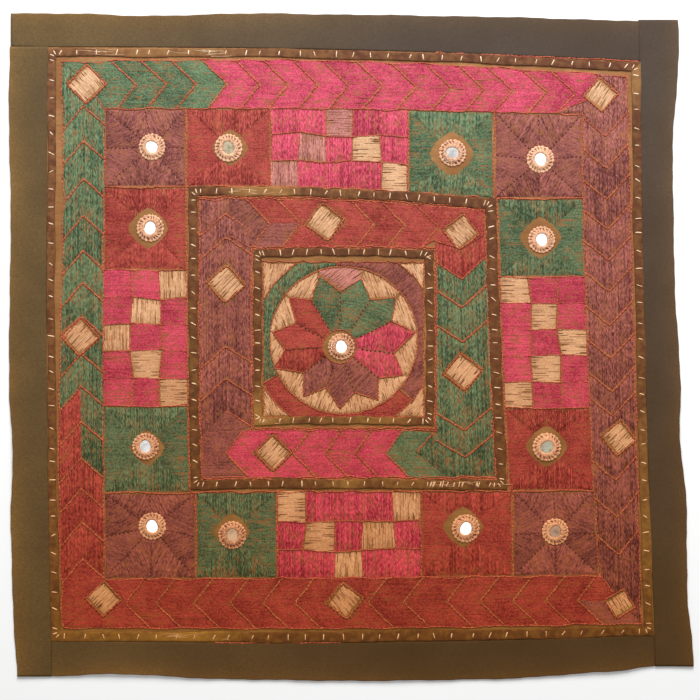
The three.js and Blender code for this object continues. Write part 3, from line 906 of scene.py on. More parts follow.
def hatch(outline, angle, pitch, uneven, holes=(), gap=LINE_GAP):
    """Parallel stitches that fill an outline. It is turned so that they run level; on each row the
    crossings with the outline are paired into spans, each hole cuts its own span out, and the ends stop
    short by the gap."""
    turn = np.array(((np.cos(angle), -np.sin(angle)), (np.sin(angle), np.cos(angle))))
    level = outline @ turn
    rows = np.arange(level[:, 1].min() + FIRST_ROW * pitch, level[:, 1].max(), pitch)
    rows = rows + chance.normal(0, uneven * pitch, len(rows))
    met = crossings(level, rows)
    pairs = met.shape[1] // 2
    begins, ends = met[:, 0 : 2 * pairs : 2], met[:, 1 : 2 * pairs : 2]
    spans = np.dstack([np.repeat(rows[:, None], pairs, 1), begins, ends]).reshape(-1, 3)
    spans = spans[np.isfinite(spans[:, 2])]
    for hole in holes:
        cut = crossings(hole @ turn, spans[:, 0])
        before = np.stack([spans[:, 0], spans[:, 1], np.minimum(spans[:, 2], cut[:, 0])], 1)
        after = np.stack([spans[:, 0], np.maximum(spans[:, 1], cut[:, 1]), spans[:, 2]], 1)
        spans = np.concatenate([before, after])
        spans = spans[spans[:, 2] > spans[:, 1]]
    short = gap * chance.uniform(*GAP_VARIES, (len(spans), 2))
    begin, end = spans[:, 1] + short[:, 0], spans[:, 2] - short[:, 1]
    long_enough = end - begin > SATIN_SHORTEST
    level_starts = np.stack([begin, spans[:, 0]], 1)[long_enough]
    level_ends = np.stack([end, spans[:, 0]], 1)[long_enough]
    return level_starts @ turn.T, level_ends @ turn.T


def filled(colour, outline, angle, **more):
    """A fill of satin stitch: its floss, its outline, the angle of its stitches, and any holes and gap."""
    return {"colour": colour, "outline": np.array(outline), "angle": angle, **more}


def diamond(row, margin=0.0):
    """The four points of a diamond, turned about its middle and grown by a margin in millimetres."""
    angle = np.radians(row["turn"] + np.arange(4) * 90)
    reach = row["reach"] + margin
    return (np.array((row["x"], row["y"])) + reach * np.stack([np.cos(angle), np.sin(angle)], 1)) * MM


def closed_line(outline):
    """An outline as a line that returns to its first point."""
    return np.concatenate([outline, outline[:1]])


def line_length(line):
    """How long a line is up to each of its points."""
    return np.concatenate([[0], np.linalg.norm(np.diff(line, axis=0), axis=1).cumsum()])


def along_line(line, steps):
    """Points of a line at distances from its start, each between the two points that it lies between."""
    return np.stack([np.interp(steps, line_length(line), line[:, axis]) for axis in (0, 1)], 1)


def on_band(band, side, along, share):
    """Points of a band between two squares, at places along its side, measured on the axis that the side
    runs along, and at a share of the way from its outer to its inner edge."""
    axis = side % 2
    edges = []
    for square in band:
        start, end = square["corners"][side][axis], square["corners"][(side + 1) % 4][axis]
        edges.append(on_side(square, side, (np.asarray(along) - start) / (end - start)))
    return edges[0] + (edges[1] - edges[0]) * np.asarray(share)[..., None]


def edge_lines(square, *grown):
    """The four sides of a layout square, each as a line that wanders by two waves of unlike lengths, and
    again for each distance that it is grown by."""
    share = np.linspace(0, 1, EDGE_POINTS)
    lines = []
    for grow in (0.0, *grown):
        for side in range(4):
            lines.append(on_side(square, side, share, grow + wavy(EDGE_WANDER, share, side)))
    return lines


def chevron_fills(band, row, joints, arms):
    """The cells of one side of a band, in two halves where their colours differ, and its chevron lines. A
    line goes from the outer edge, an arm's length behind the tip, to the tip in mid-band, and back to the
    inner edge. At the corner only its inner half is drawn."""
    side = row["side"]
    ahead = 1 if side in (TOP, LEFT) else -1
    tips = np.array(row["tips"]) * MM
    outer = on_band(band, side, tips - ahead * arms[0], 0.0)
    middle = on_band(band, side, tips, 0.5)
    inner = on_band(band, side, tips - ahead * arms[1], 1.0)
    first, last = joints[side], joints[(side - 1) % 4]
    lines = [np.array(first["line"]) * MM, *np.stack([outer, middle, inner], 1), np.array(last["line"]) * MM]
    run = band[0]["corners"][(side + 1) % 4] - band[0]["corners"][side]
    level = np.arctan2(run[1], run[0])
    cells = [cell for cell in row["cells"] for _ in range(cell["count"])]
    fills = []
    for number, cell in enumerate(cells):
        before, after = lines[number], lines[number + 1]
        angle = np.radians(cell["stitch"]) if "stitch" in cell else level
        outer_edge = [after[0], before[0]]
        inner_edge = [before[2], after[2]]
        if number == 0 and first["corner"] == side:
            inner_edge.insert(1, band[1]["corners"][(side + 1) % 4])
            outer_edge.insert(1, band[0]["corners"][(side + 1) % 4])
        if after is lines[-1] and last["corner"] == side:
            outer_edge.insert(1, band[0]["corners"][side])
        gap = CORNER_GAP if number in (0, len(cells) - 1) else LINE_GAP
        if "inner" in cell:
            fills.append(filled(cell["floss"], [*outer_edge, before[1], after[1]], angle, gap=gap))
            fills.append(filled(cell["inner"], [before[1], *inner_edge, after[1]], angle, gap=gap))
        else:
            outline = [*outer_edge, before[1], *inner_edge, after[1]]
            fills.append(filled(cell["floss"], outline, angle, gap=gap))
    return fills, [lines[0][1:], *lines[1:-1]]


def after_openings(line, openings):
    """What is left of a line past the openings: at close steps, all that follow the last one covered."""
    points = along_line(line, np.arange(0, line_length(line)[-1], LINE_STEP))
    covered = np.zeros(len(points), bool)
    for opening in openings:
        cut = crossings(opening, points[:, 1])
        covered |= (cut[:, 0] < points[:, 0]) & (points[:, 0] < cut[:, 1])
    points = points[np.flatnonzero(covered)[-1] + 1 :] if covered.any() else points
    return np.concatenate([points, line[-1:]])


def band_work(band, arms, chevrons, joints, diamonds, *apart):
    """A band's fills, its lines, and the lines round its diamonds, which the chevrons stop at. For each
    distance apart, a second line runs beside each edge, outside the band."""
    openings = [diamond(row, DIAMOND_MARGIN) for row in diamonds]
    fills = []
    lines = edge_lines(band[0], *apart) + edge_lines(band[1], *(-distance for distance in apart))
    for row in chevrons:
        cells, tip_lines = chevron_fills(band, row, joints, arms)
        fills += [{**cell, "holes": openings} for cell in cells]
        lines += [after_openings(tip_lines[0], openings), *tip_lines[1:]]
    for row in diamonds:
        fills.append(filled("cream", diamond(row), np.radians(row["stitch"])))
        lines.append(closed_line(diamond(row, DIAMOND_MARGIN / 2)))
    return fills, lines, [closed_line(opening) for opening in openings]


def sew(field, fills, finishes):
    """A piece of satin stitch for each colour of a field. Each fill has its own tone, and each stitch
    varies it; some stitches are worn short, so that the ground shows, and gaps open in the pale fills,
    where dark gap stitches are laid as painted shade. The painted glints and shade show most in stitches
    that run up the cloth towards the light, by the square of the sine of their direction."""
    pieces = []
    # Each pale fill is hatched again in dark gap stitches, painted shade in the slits between its stitches.
    fills = fills + [{**fill, "colour": "gap"} for fill in fills if fill["colour"] in PALE]
    for colour, finish in finishes.items():
        starts, ends, tones, painted_glints = [], [], [], []
        make = FLOSS[colour]
        for fill in (fill for fill in fills if fill["colour"] == colour):
            cut = {"holes": fill.get("holes", ()), "gap": fill.get("gap", LINE_GAP)}
            begin, end = hatch(fill["outline"], fill["angle"], make["pitch"] * MM, make["uneven"], **cut)
            worn = chance.random((len(begin), 1)) < make["worn"]
            left = np.where(worn, chance.uniform(*make["left"], (len(begin), 1)), 1.0)
            lost = (1 - left) * chance.integers(0, 2, (len(begin), 1))
            starts.append(begin + (end - begin) * lost)
            ends.append(begin + (end - begin) * (lost + left))
            # The painted glints and shade: least on level stitches, most on those that run up towards the
            # light.
            painted_glint = LEVEL_PAINTED_GLINT + (1 - LEVEL_PAINTED_GLINT) * np.sin(fill["angle"]) ** 2
            tone = chance.normal(MIDDLE_TONE, FILL_TONE_VARIES)
            tones.append(tone + chance.normal(0, TONE_UNEVEN * painted_glint, len(begin)))
            painted_glints.append(np.full(len(begin), painted_glint))
        if starts:
            starts, ends, tones, painted_glints = (np.concatenate(part) for part in (starts, ends, tones, painted_glints))
            width = make["width"] * MM * chance.uniform(*SATIN_WIDTH_VARIES, len(starts))
            height = make["height"] * MM * chance.uniform(*SATIN_HEIGHT_VARIES, len(starts))
            hand = {"crown": SATIN_CROWN, "rise": SATIN_RISE}
            hand["slack"] = SATIN_SLACK * chance.uniform(0, 1, len(starts))
            sections = thread_sections(starts, ends, width, height, **hand)[:, WITHOUT_MIDDLE]
            points, faces, smooth = carried(sections)
            shape = (points, faces, np.zeros_like(smooth))
            pieces.append(thread_piece(f"{field}_{colour}", shape, sections, tones, finish, painted_glints))
    return pieces


def run_thread(name, lines, finish, slot, width=OUTLINE_WIDTH, shown=STEM_OVERLAP):
    """Lines worked in short stitches: each line is divided evenly along its length, and of each step the
    shown share lies on the face. A share over 1 makes each stitch overlap the next."""
    starts, ends = [], []
    for line in lines:
        length = line_length(line)[-1]
        points = along_line(line, np.linspace(0, length, max(1, round(length / OUTLINE_STITCH)) + 1))
        points = points + chance.normal(0, OUTLINE_WANDER, points.shape)
        starts.append(points[:-1])
        ends.append(points[:-1] + shown * np.diff(points, axis=0))
    starts, ends = np.concatenate(starts), np.concatenate(ends)
    widths = width * chance.uniform(*OUTLINE_WIDTH_VARIES, len(starts))
    sections = thread_sections(starts, ends, widths, OUTLINE_HEIGHT)[:, WITHOUT_MIDDLE]
    shape = carried(sections, flat_back=True)
    tones = chance.normal(MIDDLE_TONE, OUTLINE_TONE_VARIES, len(starts))
    return thread_piece(name, shape, sections, tones, finish)


floss = {}
for colour, row in FLOSS.items():
    look = {"roughness": FLOSS_ROUGHNESS, "gloss": FLOSS_GLOSS}
    look.update({key: row[key] for key in ("deep", "pale", "waves", "thin", "glint")})
    floss[colour] = thread_finish(colour + "_floss", **look)
sewing = {"roughness": 0.6, "gloss": 0.2}
rust = (thread_finish("rust_thread", RUST_DEEP, RUST_PALE, lowest=RUST_PAINTED_SHADE, **sewing), "rust_thread")
# Dark thread, also laid in dots as painted shade in the needle holes round the diamonds.
dark_thread_and_shade = (thread_finish("dark_thread", DARK_THREAD_AND_SHADE_DEEP, DARK_THREAD_AND_SHADE_PALE, **sewing), "plum_floss")

outer_band = (SQUARES["band_outer"], SQUARES["band_inner"])
fills, lines, beside = band_work(outer_band, OUTER_BAND_ARMS, OUTER_CHEVRONS, OUTER_JOINTS, OUTER_DIAMONDS)
embroidery = sew("outer_band", fills, floss)
embroidery.append(run_thread("outer_band_outline", lines, *rust))
seam_lines = []
for side, start, end in SEAM_SHOWS:
    shares = np.linspace(start, end, EDGE_POINTS)
    seam_lines.append(on_side(SQUARES["ground"], side, shares, -SEAM_INSIDE))
embroidery.append(run_thread("seam_thread", seam_lines, *rust))
# Dark dots round the diamonds' openings: painted shade in the needle holes.
embroidery.append(run_thread("outer_band_needle_hole_shade", beside, *dark_thread_and_shade, HOLE_SHADE_WIDTH, HOLE_SHADE_SHOWN))

# Tiles
# A ring of square tiles inside the band. Twelve hold a mirror, with the floss worked towards it from each
# side and, in eight of them, a bare lozenge of ground left round it. Four blocks are chequered in pink and
# cream.
CHECK_COLUMNS = 5
CHECK_ROWS = 3
CHECK_GAP = 0.3 * MM
CHECK_LINE_WIDTH = 0.9 * MM
CHECK_WANDER = 1.6 * MM
LOZENGE_WANDER = 1.2 * MM
LOZENGE_POWER = 1.35
PLUM_OPENING = 13.4 * MM
PLUM_SLANT = 0.45
WEDGE_GAP = -0.9 * MM
TILE_FILLED = 0.95
TILE_LINE_POINTS = 12
ROUND_POINTS = 28
DOT_WIDTH = 1.1 * MM
DOTTED = 0.6
# How a line between two tiles wanders: a wave that turns with its place across the band and along the side.
TILE_LINE_WANDER = [{"height": 0.7 * MM, "turns": (7, 90)}]
# Where the tiles meet along each side, in millimetres, from one corner tile to the next, and what fills
# them. level and mauve are the columns of the chequered block whose pale cell is worked level, and is
# mauve.
TILE_SIDES = {
    TOP: {
        "meets": (-165, -80, 57, 143),
        "fills": ("red", "check", "green"),
        "level": (2, 3, 4),
        "mauve": (0, 1, 2),
    },
    RIGHT: {
        "meets": (148, 69.5, -61.5, -144.5),
        "fills": ("green", "check", "red"),
        "level": (0, 1, 2, 3, 4),
        "mauve": (),
    },
    BOTTOM: {
        "meets": (-155, -74, 70, 162),
        "fills": ("green", "check", "red"),
        "level": (0, 1),
        "mauve": (),
    },
    LEFT: {
        "meets": (159.5, 76.5, -59.5, -146.5),
        "fills": ("red", "check", "green"),
        "level": (3, 4),
        "mauve": (),
    },
}
# The plum tiles in the corners: the corner's number, anticlockwise from the bottom left, and the two sides
# beside it, each with which of its meeting places, the first or the last, the tile ends at.
CORNER_TILES = [
    {"corner": 3, "beside": ((TOP, 0), (LEFT, 0))},
    {"corner": 2, "beside": ((RIGHT, 0), (TOP, -1))},
    {"corner": 1, "beside": ((BOTTOM, -1), (RIGHT, -1))},
    {"corner": 0, "beside": ((LEFT, -1), (BOTTOM, 0))},
]


def round_outline(middle, reach, power=2.0, points=ROUND_POINTS):
    """A round or lozenge: the radius at each angle is such that |x| and |y|, each to the power, add up to
    the reach to the power. 2 gives a circle, and 1 a diamond."""
    angle = np.linspace(0, 2 * np.pi, points, endpoint=False)
    radius = reach / (np.abs(np.cos(angle)) ** power + np.abs(np.sin(angle)) ** power) ** (1 / power)
    return middle + radius[:, None] * np.stack([np.cos(angle), np.sin(angle)], 1)


def heading(start, end):
    """The angle of the line from one point to another."""
    return np.arctan2(end[1] - start[1], end[0] - start[0])


def mirror_tile(corners, colour):
    """Four wedges from a tile's sides to its mirror, each worked square to its side, round a bare lozenge.
    A plum tile has eight, worked aslant, close up to the mirror's ring. With them, the lines between the
    wedges."""
    nearest = np.argmin(np.linalg.norm(mirror_middles - corners.mean(0), axis=1))
    middle, reach = mirror_middles[nearest], MIRRORS[nearest]["bare"] * MM
    plum = colour == "plum"
    bare_middle = middle + chance.normal(0, LOZENGE_WANDER, 2)
    hole = round_outline(middle, PLUM_OPENING) if plum else round_outline(bare_middle, reach, LOZENGE_POWER)
    corners = corners.mean(0) + TILE_FILLED * (corners - corners.mean(0))
    fills, lines = [], []
    for start, end in zip(corners, np.roll(corners, -1, 0)):
        halfway = (start + end) / 2
        square_on = heading(start, end) + np.pi / 2
        if plum:
            wedges = ((start, halfway, square_on - PLUM_SLANT), (halfway, end, square_on + PLUM_SLANT))
        else:
            wedges = ((start, end, square_on),)
        for first, second, angle in wedges:
            fills.append(filled(colour, (first, second, middle), angle, holes=[hole], gap=WEDGE_GAP))
            inmost = middle + PLUM_OPENING * (first - middle) / np.linalg.norm(first - middle)
            lines.append(np.array((first, inmost)))
    return fills, lines


def tile_line(band, side, along):
    """The line of thread between two tiles, which wanders a little on its way across the band."""
    share = np.linspace(0, 1, TILE_LINE_POINTS)
    return on_band(band, side, along + wavy(TILE_LINE_WANDER, share, along), share)


def check_block(band, side, row):
    """Cells of a chequered block between two places along a side, their corners a little off the grid, and
    the lines between them. The pale cells make a chevron that points outwards."""
    grid = (CHECK_COLUMNS + 1, CHECK_ROWS + 1)
    columns = np.linspace(*row["meets"][1:3], grid[0])[:, None] * MM
    corners = on_band(band, side, columns, np.broadcast_to(np.linspace(0, 1, grid[1]), grid))
    inside = np.zeros((*grid, 1))
    inside[1:-1, 1:-1] = 1
    corners = corners + inside * chance.normal(0, CHECK_WANDER, corners.shape)
    across = heading(corners[2, 0], corners[2, -1])
    fills = []
    for column in range(CHECK_COLUMNS):
        for cell in range(CHECK_ROWS):
            outline = corners[[column, column + 1, column + 1, column], [cell, cell, cell + 1, cell + 1]]
            colour, angle = "pink", across
            if cell == abs(column - CHECK_COLUMNS // 2):
                colour = "mauve" if column in row["mauve"] else "cream"
                angle = 0.0 if column in row["level"] else np.pi / 2
            fills.append(filled(colour, outline, angle, gap=CHECK_GAP))
    return fills, [*corners[1:-1], *corners.transpose(1, 0, 2)[1:-1]]


tile_band = (SQUARES["band_inner"], SQUARES["tiles_inner"])
tile_fills, tile_lines, check_lines, wedge_lines = [], edge_lines(tile_band[1]), [], []
for side, row in TILE_SIDES.items():
    meets = np.array(row["meets"]) * MM
    tile_lines += [tile_line(tile_band, side, meet) for meet in meets]
    for start, end, kind in zip(meets, meets[1:], row["fills"]):
        if kind == "check":
            fills, lines = check_block(tile_band, side, row)
            check_lines += lines
        else:
            places = ((start, 0), (end, 0), (end, 1), (start, 1))
            corners = np.array([on_band(tile_band, side, along, share) for along, share in places])
            fills, lines = mirror_tile(corners, kind)
        tile_fills += fills
for row in CORNER_TILES:
    ends = {side: TILE_SIDES[side]["meets"][which] * MM for side, which in row["beside"]}
    beside = [on_band(tile_band, side, along, 0) for side, along in ends.items()]
    inmost = np.array([ends[side] for side in sorted(ends, key=lambda side: side % 2)])
    corners = np.array((tile_band[0]["corners"][row["corner"]], beside[0], inmost, beside[1]))
    fills, lines = mirror_tile(corners, "plum")
    tile_fills += fills
    wedge_lines += lines
embroidery += sew("tile", tile_fills, floss)
embroidery.append(run_thread("tile_outline", tile_lines, *rust))
embroidery.append(run_thread("check_lines", check_lines, *rust, CHECK_LINE_WIDTH))
embroidery.append(run_thread("plum_tile_lines", wedge_lines, *dark_thread_and_shade, DOT_WIDTH, DOTTED))

# Inner band
# A second, narrower ring of chevrons between the middle and the inner couched frames, worked as the outer
# band is: plum on the left, red along the top, green down the right and pink along the bottom.
INNER_BAND_ARMS = (23 * MM, 17 * MM)
EDGE_LINES_APART = 1.9 * MM
INNER_CHEVRONS = [
    {
        "side": TOP,
        "tips": (-82, -51, 23, 54, 88),
        "cells": [
            {"floss": "plum", "count": 1, "stitch": 40},
            {"floss": "red", "inner": "plum", "count": 1},
            {"floss": "red", "count": 4},
        ],
    },
    {
        "side": RIGHT,
        "tips": (67, 39, 4, -84, -111),
        "cells": [{"floss": "red", "count": 1}, {"floss": "green", "count": 5}],
    },
    {
        "side": BOTTOM,
        "tips": (35, 4, -26, -58, -125),
        "cells": [
            {"floss": "green", "count": 1},
            {"floss": "pink", "count": 4},
            {"floss": "plum", "count": 1},
        ],
    },
    {"side": LEFT, "tips": (-32, 0, 109, 133), "cells": [{"floss": "plum", "count": 5}]},
]
INNER_JOINTS = {
    TOP: {"line": ((-122, 149), (-121.5, 111), (-99.5, 99)), "corner": LEFT},
    RIGHT: {"line": ((133, 111), (110, 97.5), (84, 106)), "corner": TOP},
    BOTTOM: {"line": ((95, -131), (65, -105.5), (82, -87)), "corner": RIGHT},
    LEFT: {"line": ((-149.5, -90), (-125, -64.5), (-99.5, -80)), "corner": BOTTOM},
}
INNER_DIAMONDS = [
    {"x": -125, "y": 62.5, "reach": 18, "turn": -4, "stitch": 45},
    {"x": -26, "y": 124.5, "reach": 18, "turn": 8, "stitch": 50},
    {"x": 110, "y": 114.5, "reach": 17, "turn": -8, "stitch": -45},
    {"x": 112, "y": -25.5, "reach": 18, "turn": 6, "stitch": 50},
    {"x": -78, "y": -106.5, "reach": 17, "turn": 0, "stitch": 45},
]
inner_band = (SQUARES["inner_outer"], SQUARES["inner_inner"])
fills, lines, beside = band_work(
    inner_band, INNER_BAND_ARMS, INNER_CHEVRONS, INNER_JOINTS, INNER_DIAMONDS, EDGE_LINES_APART
)
embroidery += sew("inner_band", fills, floss)
embroidery.append(run_thread("inner_band_outline", lines, *rust))
# Dark dots round the diamonds' openings: painted shade in the needle holes.
embroidery.append(run_thread("inner_band_needle_hole_shade", beside, *dark_thread_and_shade, HOLE_SHADE_WIDTH, HOLE_SHADE_SHOWN))

# Medallion
# The middle square: a round flower of eleven pointed petals about a mirror, cream between the points,
# inside a circle. Round it are crescents of floss and cream corners.
FLOWER_MIRROR = 6
CIRCLE_MIDDLE = np.array((-7.5, 6.0)) * MM
CIRCLE_RADIUS = 74 * MM
CIRCLE_POINTS = 90
ARC_POINTS = 40
BETWEEN_POINTS = 7
EYE_RADIUS = 17 * MM
PETAL_GAP = 0.25 * MM
PETAL_LINE_FROM = 0.36
MEDALLION_LINE_WIDTH = 1.0 * MM
FIRST_CORNER = 225
CORNER_SWEEP = 30
LEAST_WAY = 1e-6
# The petals clockwise, by the angle of the point about the mirror in degrees and its distance in
# millimetres, with the direction of the stitches; then how far out the notch that follows is, and, for the
# gap beyond it between this point and the next, the direction of its stitches and its floss where that is
# not cream.
PETALS = [
    {"angle": 136, "point": 71, "colour": "red", "stitch": 0, "notch": 54, "slant": 60},
    {"angle": 106, "point": 74, "colour": "green", "stitch": 0, "notch": 55, "slant": 35, "beyond": "mauve"},
    {"angle": 72, "point": 72, "colour": "green", "stitch": -8, "notch": 56, "slant": 110},
    {"angle": 41, "point": 75, "colour": "green", "stitch": -25, "notch": 58, "slant": 110},
    {"angle": 10.5, "point": 77, "colour": "pink", "stitch": 90, "notch": 55, "slant": 110},
    {"angle": -24, "point": 70, "colour": "pink", "stitch": 90, "notch": 50, "slant": 110},
    {"angle": -54, "point": 66, "colour": "plum", "stitch": 45, "notch": 48, "slant": 100},
    {"angle": -89.5, "point": 62, "colour": "plum", "stitch": 45, "notch": 43, "slant": 70},
    {"angle": -126, "point": 62, "colour": "plum", "stitch": 90, "notch": 44, "slant": 65},
    {"angle": -161.5, "point": 68, "colour": "red", "stitch": 90, "notch": 55, "slant": 65},
    {"angle": -192, "point": 68, "colour": "red", "stitch": 0, "notch": 49, "slant": 107},
]
# The crescents between the circle and the square, anticlockwise, by angle and stitch in degrees.
CRESCENTS = [
    {"start": 95, "end": 208, "colour": "green", "stitch": 86},
    {"start": 208, "end": 319, "colour": "red", "stitch": 4},
    {"start": 319, "end": 455, "colour": "plum", "stitch": 40},
]
# The cream corners of the square, anticlockwise from the bottom left: how far from the middle of the circle
# each begins, in millimetres, and the direction of its stitches.
CREAM_CORNERS = [
    {"from": 92.5, "stitch": 110},
    {"from": 91, "stitch": 60},
    {"from": 95, "stitch": 115},
    {"from": 89, "stitch": 75},
]


def at_angle(angle, radius, middle=CIRCLE_MIDDLE):
    """Points at an angle in degrees and a distance from a middle, the circle's unless another is given."""
    turn = np.radians(np.asarray(angle, float))[..., None]
    return middle + np.asarray(radius)[..., None] * np.concatenate([np.cos(turn), np.sin(turn)], -1)


def bearing(point):
    """The angle in degrees of a point from the middle of the circle."""
    return np.degrees(heading(CIRCLE_MIDDLE, point))


def to_square(angle):
    """How far the medallion's square is from the middle of the circle at an angle in degrees."""
    low, high = SQUARES["medallion"]["corners"][[0, 2]] - CIRCLE_MIDDLE
    way = at_angle(angle, 1.0) - CIRCLE_MIDDLE
    return (np.where(way > 0, high, low) / np.where(np.abs(way) < LEAST_WAY, LEAST_WAY, way)).min(-1)


def to_crescent(angle):
    """How far the crescents reach at an angle in degrees, where the square allows it: from one cream
    corner's distance to the next one's."""
    corners = FIRST_CORNER + 90 * np.arange(4)
    return np.interp(angle, corners, [row["from"] * MM for row in CREAM_CORNERS], period=360)


flower_middle = mirror_middles[FLOWER_MIRROR]
eye = round_outline(flower_middle, EYE_RADIUS)
circle = round_outline(CIRCLE_MIDDLE, CIRCLE_RADIUS, points=CIRCLE_POINTS)
medallion_fills, petal_lines = [], []
medallion_lines = edge_lines(SQUARES["medallion"]) + [closed_line(eye), closed_line(circle)]
angles, reaches, depths = (np.array([petal[key] for petal in PETALS]) for key in ("angle", "point", "notch"))
turned = (angles - np.roll(angles, -1)) % 360
points = at_angle(angles, reaches * MM, flower_middle)
notches = at_angle(angles - turned / 2, depths * MM, flower_middle)
for number, petal in enumerate(PETALS):
    point, following = points[number], points[(number + 1) % len(PETALS)]
    before, after = notches[number - 1], notches[number]
    outline = (flower_middle, before, point, after)
    stitch = np.radians(petal["stitch"])
    medallion_fills.append(filled(petal["colour"], outline, stitch, holes=[eye], gap=PETAL_GAP))
    medallion_lines.append(np.array((before, point, after)))
    petal_lines.append(np.array((after, flower_middle + PETAL_LINE_FROM * (after - flower_middle))))
    first = bearing(point)
    sweep = first - np.linspace(0, (first - bearing(following)) % 360, BETWEEN_POINTS)
    outline = (after, point, *at_angle(sweep, CIRCLE_RADIUS), following)
    medallion_fills.append(filled(petal.get("beyond", "cream"), outline, np.radians(petal["slant"])))
for row in CRESCENTS:
    sweep = np.linspace(row["start"], row["end"], ARC_POINTS)
    inside = at_angle(sweep, CIRCLE_RADIUS)
    outside = at_angle(sweep[::-1], np.minimum(to_crescent(sweep), to_square(sweep))[::-1])
    outline = np.concatenate([inside, outside])
    medallion_fills.append(filled(row["colour"], outline, np.radians(row["stitch"])))
    medallion_lines.append(np.array((inside[-1], outside[0])))
for number, (corner, row) in enumerate(zip(SQUARES["medallion"]["corners"], CREAM_CORNERS)):
    sweep = FIRST_CORNER + 90 * number + np.linspace(-CORNER_SWEEP, CORNER_SWEEP, ARC_POINTS)
    sweep = sweep[to_square(sweep) > to_crescent(sweep)]
    arc = at_angle(sweep, to_crescent(sweep))
    medallion_fills.append(filled("cream", (*arc, corner), np.radians(row["stitch"])))
    medallion_lines.append(arc)
embroidery += sew("medallion", medallion_fills, floss)
embroidery.append(run_thread("medallion_outline", medallion_lines, *rust, MEDALLION_LINE_WIDTH))
embroidery.append(run_thread("petal_lines", petal_lines, *dark_thread_and_shade, DOT_WIDTH, DOTTED))

# Mirrors
# Thirteen small rounds cut by hand from silvered glass, held on the cloth by thread alone. Each leans its
# own way, and some are tinted and clouded dark, partly by tarnish and partly by painted reflections.
MIRROR_RADIUS = 8.6 * MM
MIRROR_THICKNESS = 1.0 * MM
MIRROR_SEAT = 0.15 * MM
MIRROR_LEAN_ROOM = 0.6
MIRROR_STEPS = 15
MIRROR_HALF_TURN = 1.35
# The section across a mirror, in columns: shares of the half width there, and of the thickness.
MIRROR_SECTION = {
    "across": np.array((1, 0.94, 0.3, -0.3, -0.94, -1, -1, -0.94, -0.3, 0.3, 0.94, 1)),
    "up": np.array((0.8, 1, 1, 1, 1, 0.8, 0.2, 0, 0, 0, 0, 0.2)),
}
TARNISH_AND_REFLECTION_CLOUD = (96, 78, 62)
# The colour of each kind of glass, and how far it is clouded: partly tarnish, and partly painted
# reflections of what the mirrors face.
GLASS_TARNISH_AND_REFLECTION = {
    "clear": {"tint": (252, 253, 253), "clouded": 0.12},
    "sea": {"tint": (166, 154, 130), "clouded": 0.55},
    "sky": {"tint": (186, 184, 182), "clouded": 0.35},
    "teal": {"tint": (146, 142, 124), "clouded": 0.8},
    "amber": {"tint": (172, 136, 104), "clouded": 0.5},
    "smoke": {"tint": (148, 116, 94), "clouded": 0.55},
}


def mirror_sections():
    """Each mirror is a set of flat sections across it, from one edge to the other. At each step the glass
    reaches out to the circle on both sides, with a bevelled rim, and the whole is tipped by its lean."""
    turn = np.linspace(-MIRROR_HALF_TURN, MIRROR_HALF_TURN, MIRROR_STEPS)
    x = MIRROR_RADIUS * np.sin(turn)[:, None]
    y = np.sqrt(MIRROR_RADIUS**2 - x**2) * MIRROR_SECTION["across"]
    flat = np.stack(np.broadcast_arrays(x, y), -1)
    sections = []
    for row, middle in zip(MIRRORS, mirror_middles):
        lean = np.tan(np.radians(row["lean"]))
        room = np.abs(lean).sum() * MIRROR_RADIUS * MIRROR_LEAN_ROOM
        seat = lie(*middle[:, None])[0] + MIRROR_SEAT + room
        up = seat + MIRROR_SECTION["up"] * MIRROR_THICKNESS - flat @ lean
        sections.append(np.concatenate([middle + flat, up[..., None]], -1)[:, ::-1])
    return np.array(sections)


def silvered_glass():
    """Silvered glass: metal of each mirror's own tint, clouded in patches, with fine scratches. The tints
    and clouds are partly tarnish and partly painted reflection.
    """
    material, tree, shader = new_finish("silvered_glass", roughness=0.06, gloss=0.5)
    shader.inputs["Metallic"].default_value = 1.0
    place = place_on_cloth(tree)
    clouds = ranged(tree, cloudy(tree, place, per_metre=190), low=0.38, high=0.66)
    clouds = reckoned(tree, "MULTIPLY", clouds, read_mark(tree, "clouded"))
    colour = mixed(tree, clouds, read_mark(tree, "tint", "Color"), shade(*TARNISH_AND_REFLECTION_CLOUD))
    tree.links.new(colour, shader.inputs["Base Color"])
    scratches = cloudy(tree, place, per_metre=900, detail=2.0, stretch=(0.2, 1, 1))
    roughness = ranged(tree, scratches, low=0.4, high=0.8, to_low=0.04, to_high=0.16)
    tree.links.new(roughness, shader.inputs["Roughness"])
    return material


glass = mirror_sections()
points, faces, smooth = carried(glass)
shape = (points, faces, np.zeros_like(smooth))
mirrors = new_piece("mirrors", shape, silvered_glass())
points_each = glass.shape[1] * glass.shape[2]
tints = np.array([shade(*GLASS_TARNISH_AND_REFLECTION[row["glass"]]["tint"])[:3] for row in MIRRORS])
mark(mirrors, "tint", np.repeat(tints, points_each, 0), "FLOAT_VECTOR", "vector")
mark(mirrors, "clouded", np.repeat([GLASS_TARNISH_AND_REFLECTION[row["glass"]]["clouded"] for row in MIRRORS], points_each))
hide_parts(*[f"mirror_{number + 1:02d}" for number in range(len(MIRRORS))])

# Thread rings
# Each mirror's ring is close buttonhole stitch in cream thread, drawn tight over the rim of the glass and
# worked outwards in loops that lie on the cloth. Between the loops are small holes, and the outer edge is
# scalloped.
RING_LOOPS = 21
RING_STEPS_PER_LOOP = 8
RING_SIZES = (0.94, 1.01)
RING_WANDER = 0.7 * MM
RING_CREAM = (245, 196, 159)
RING_SHADOW = (134, 75, 52)
RING_TONE = 0.8
RING_TONE_VARIES = 0.08
RING_FIBRES = 40
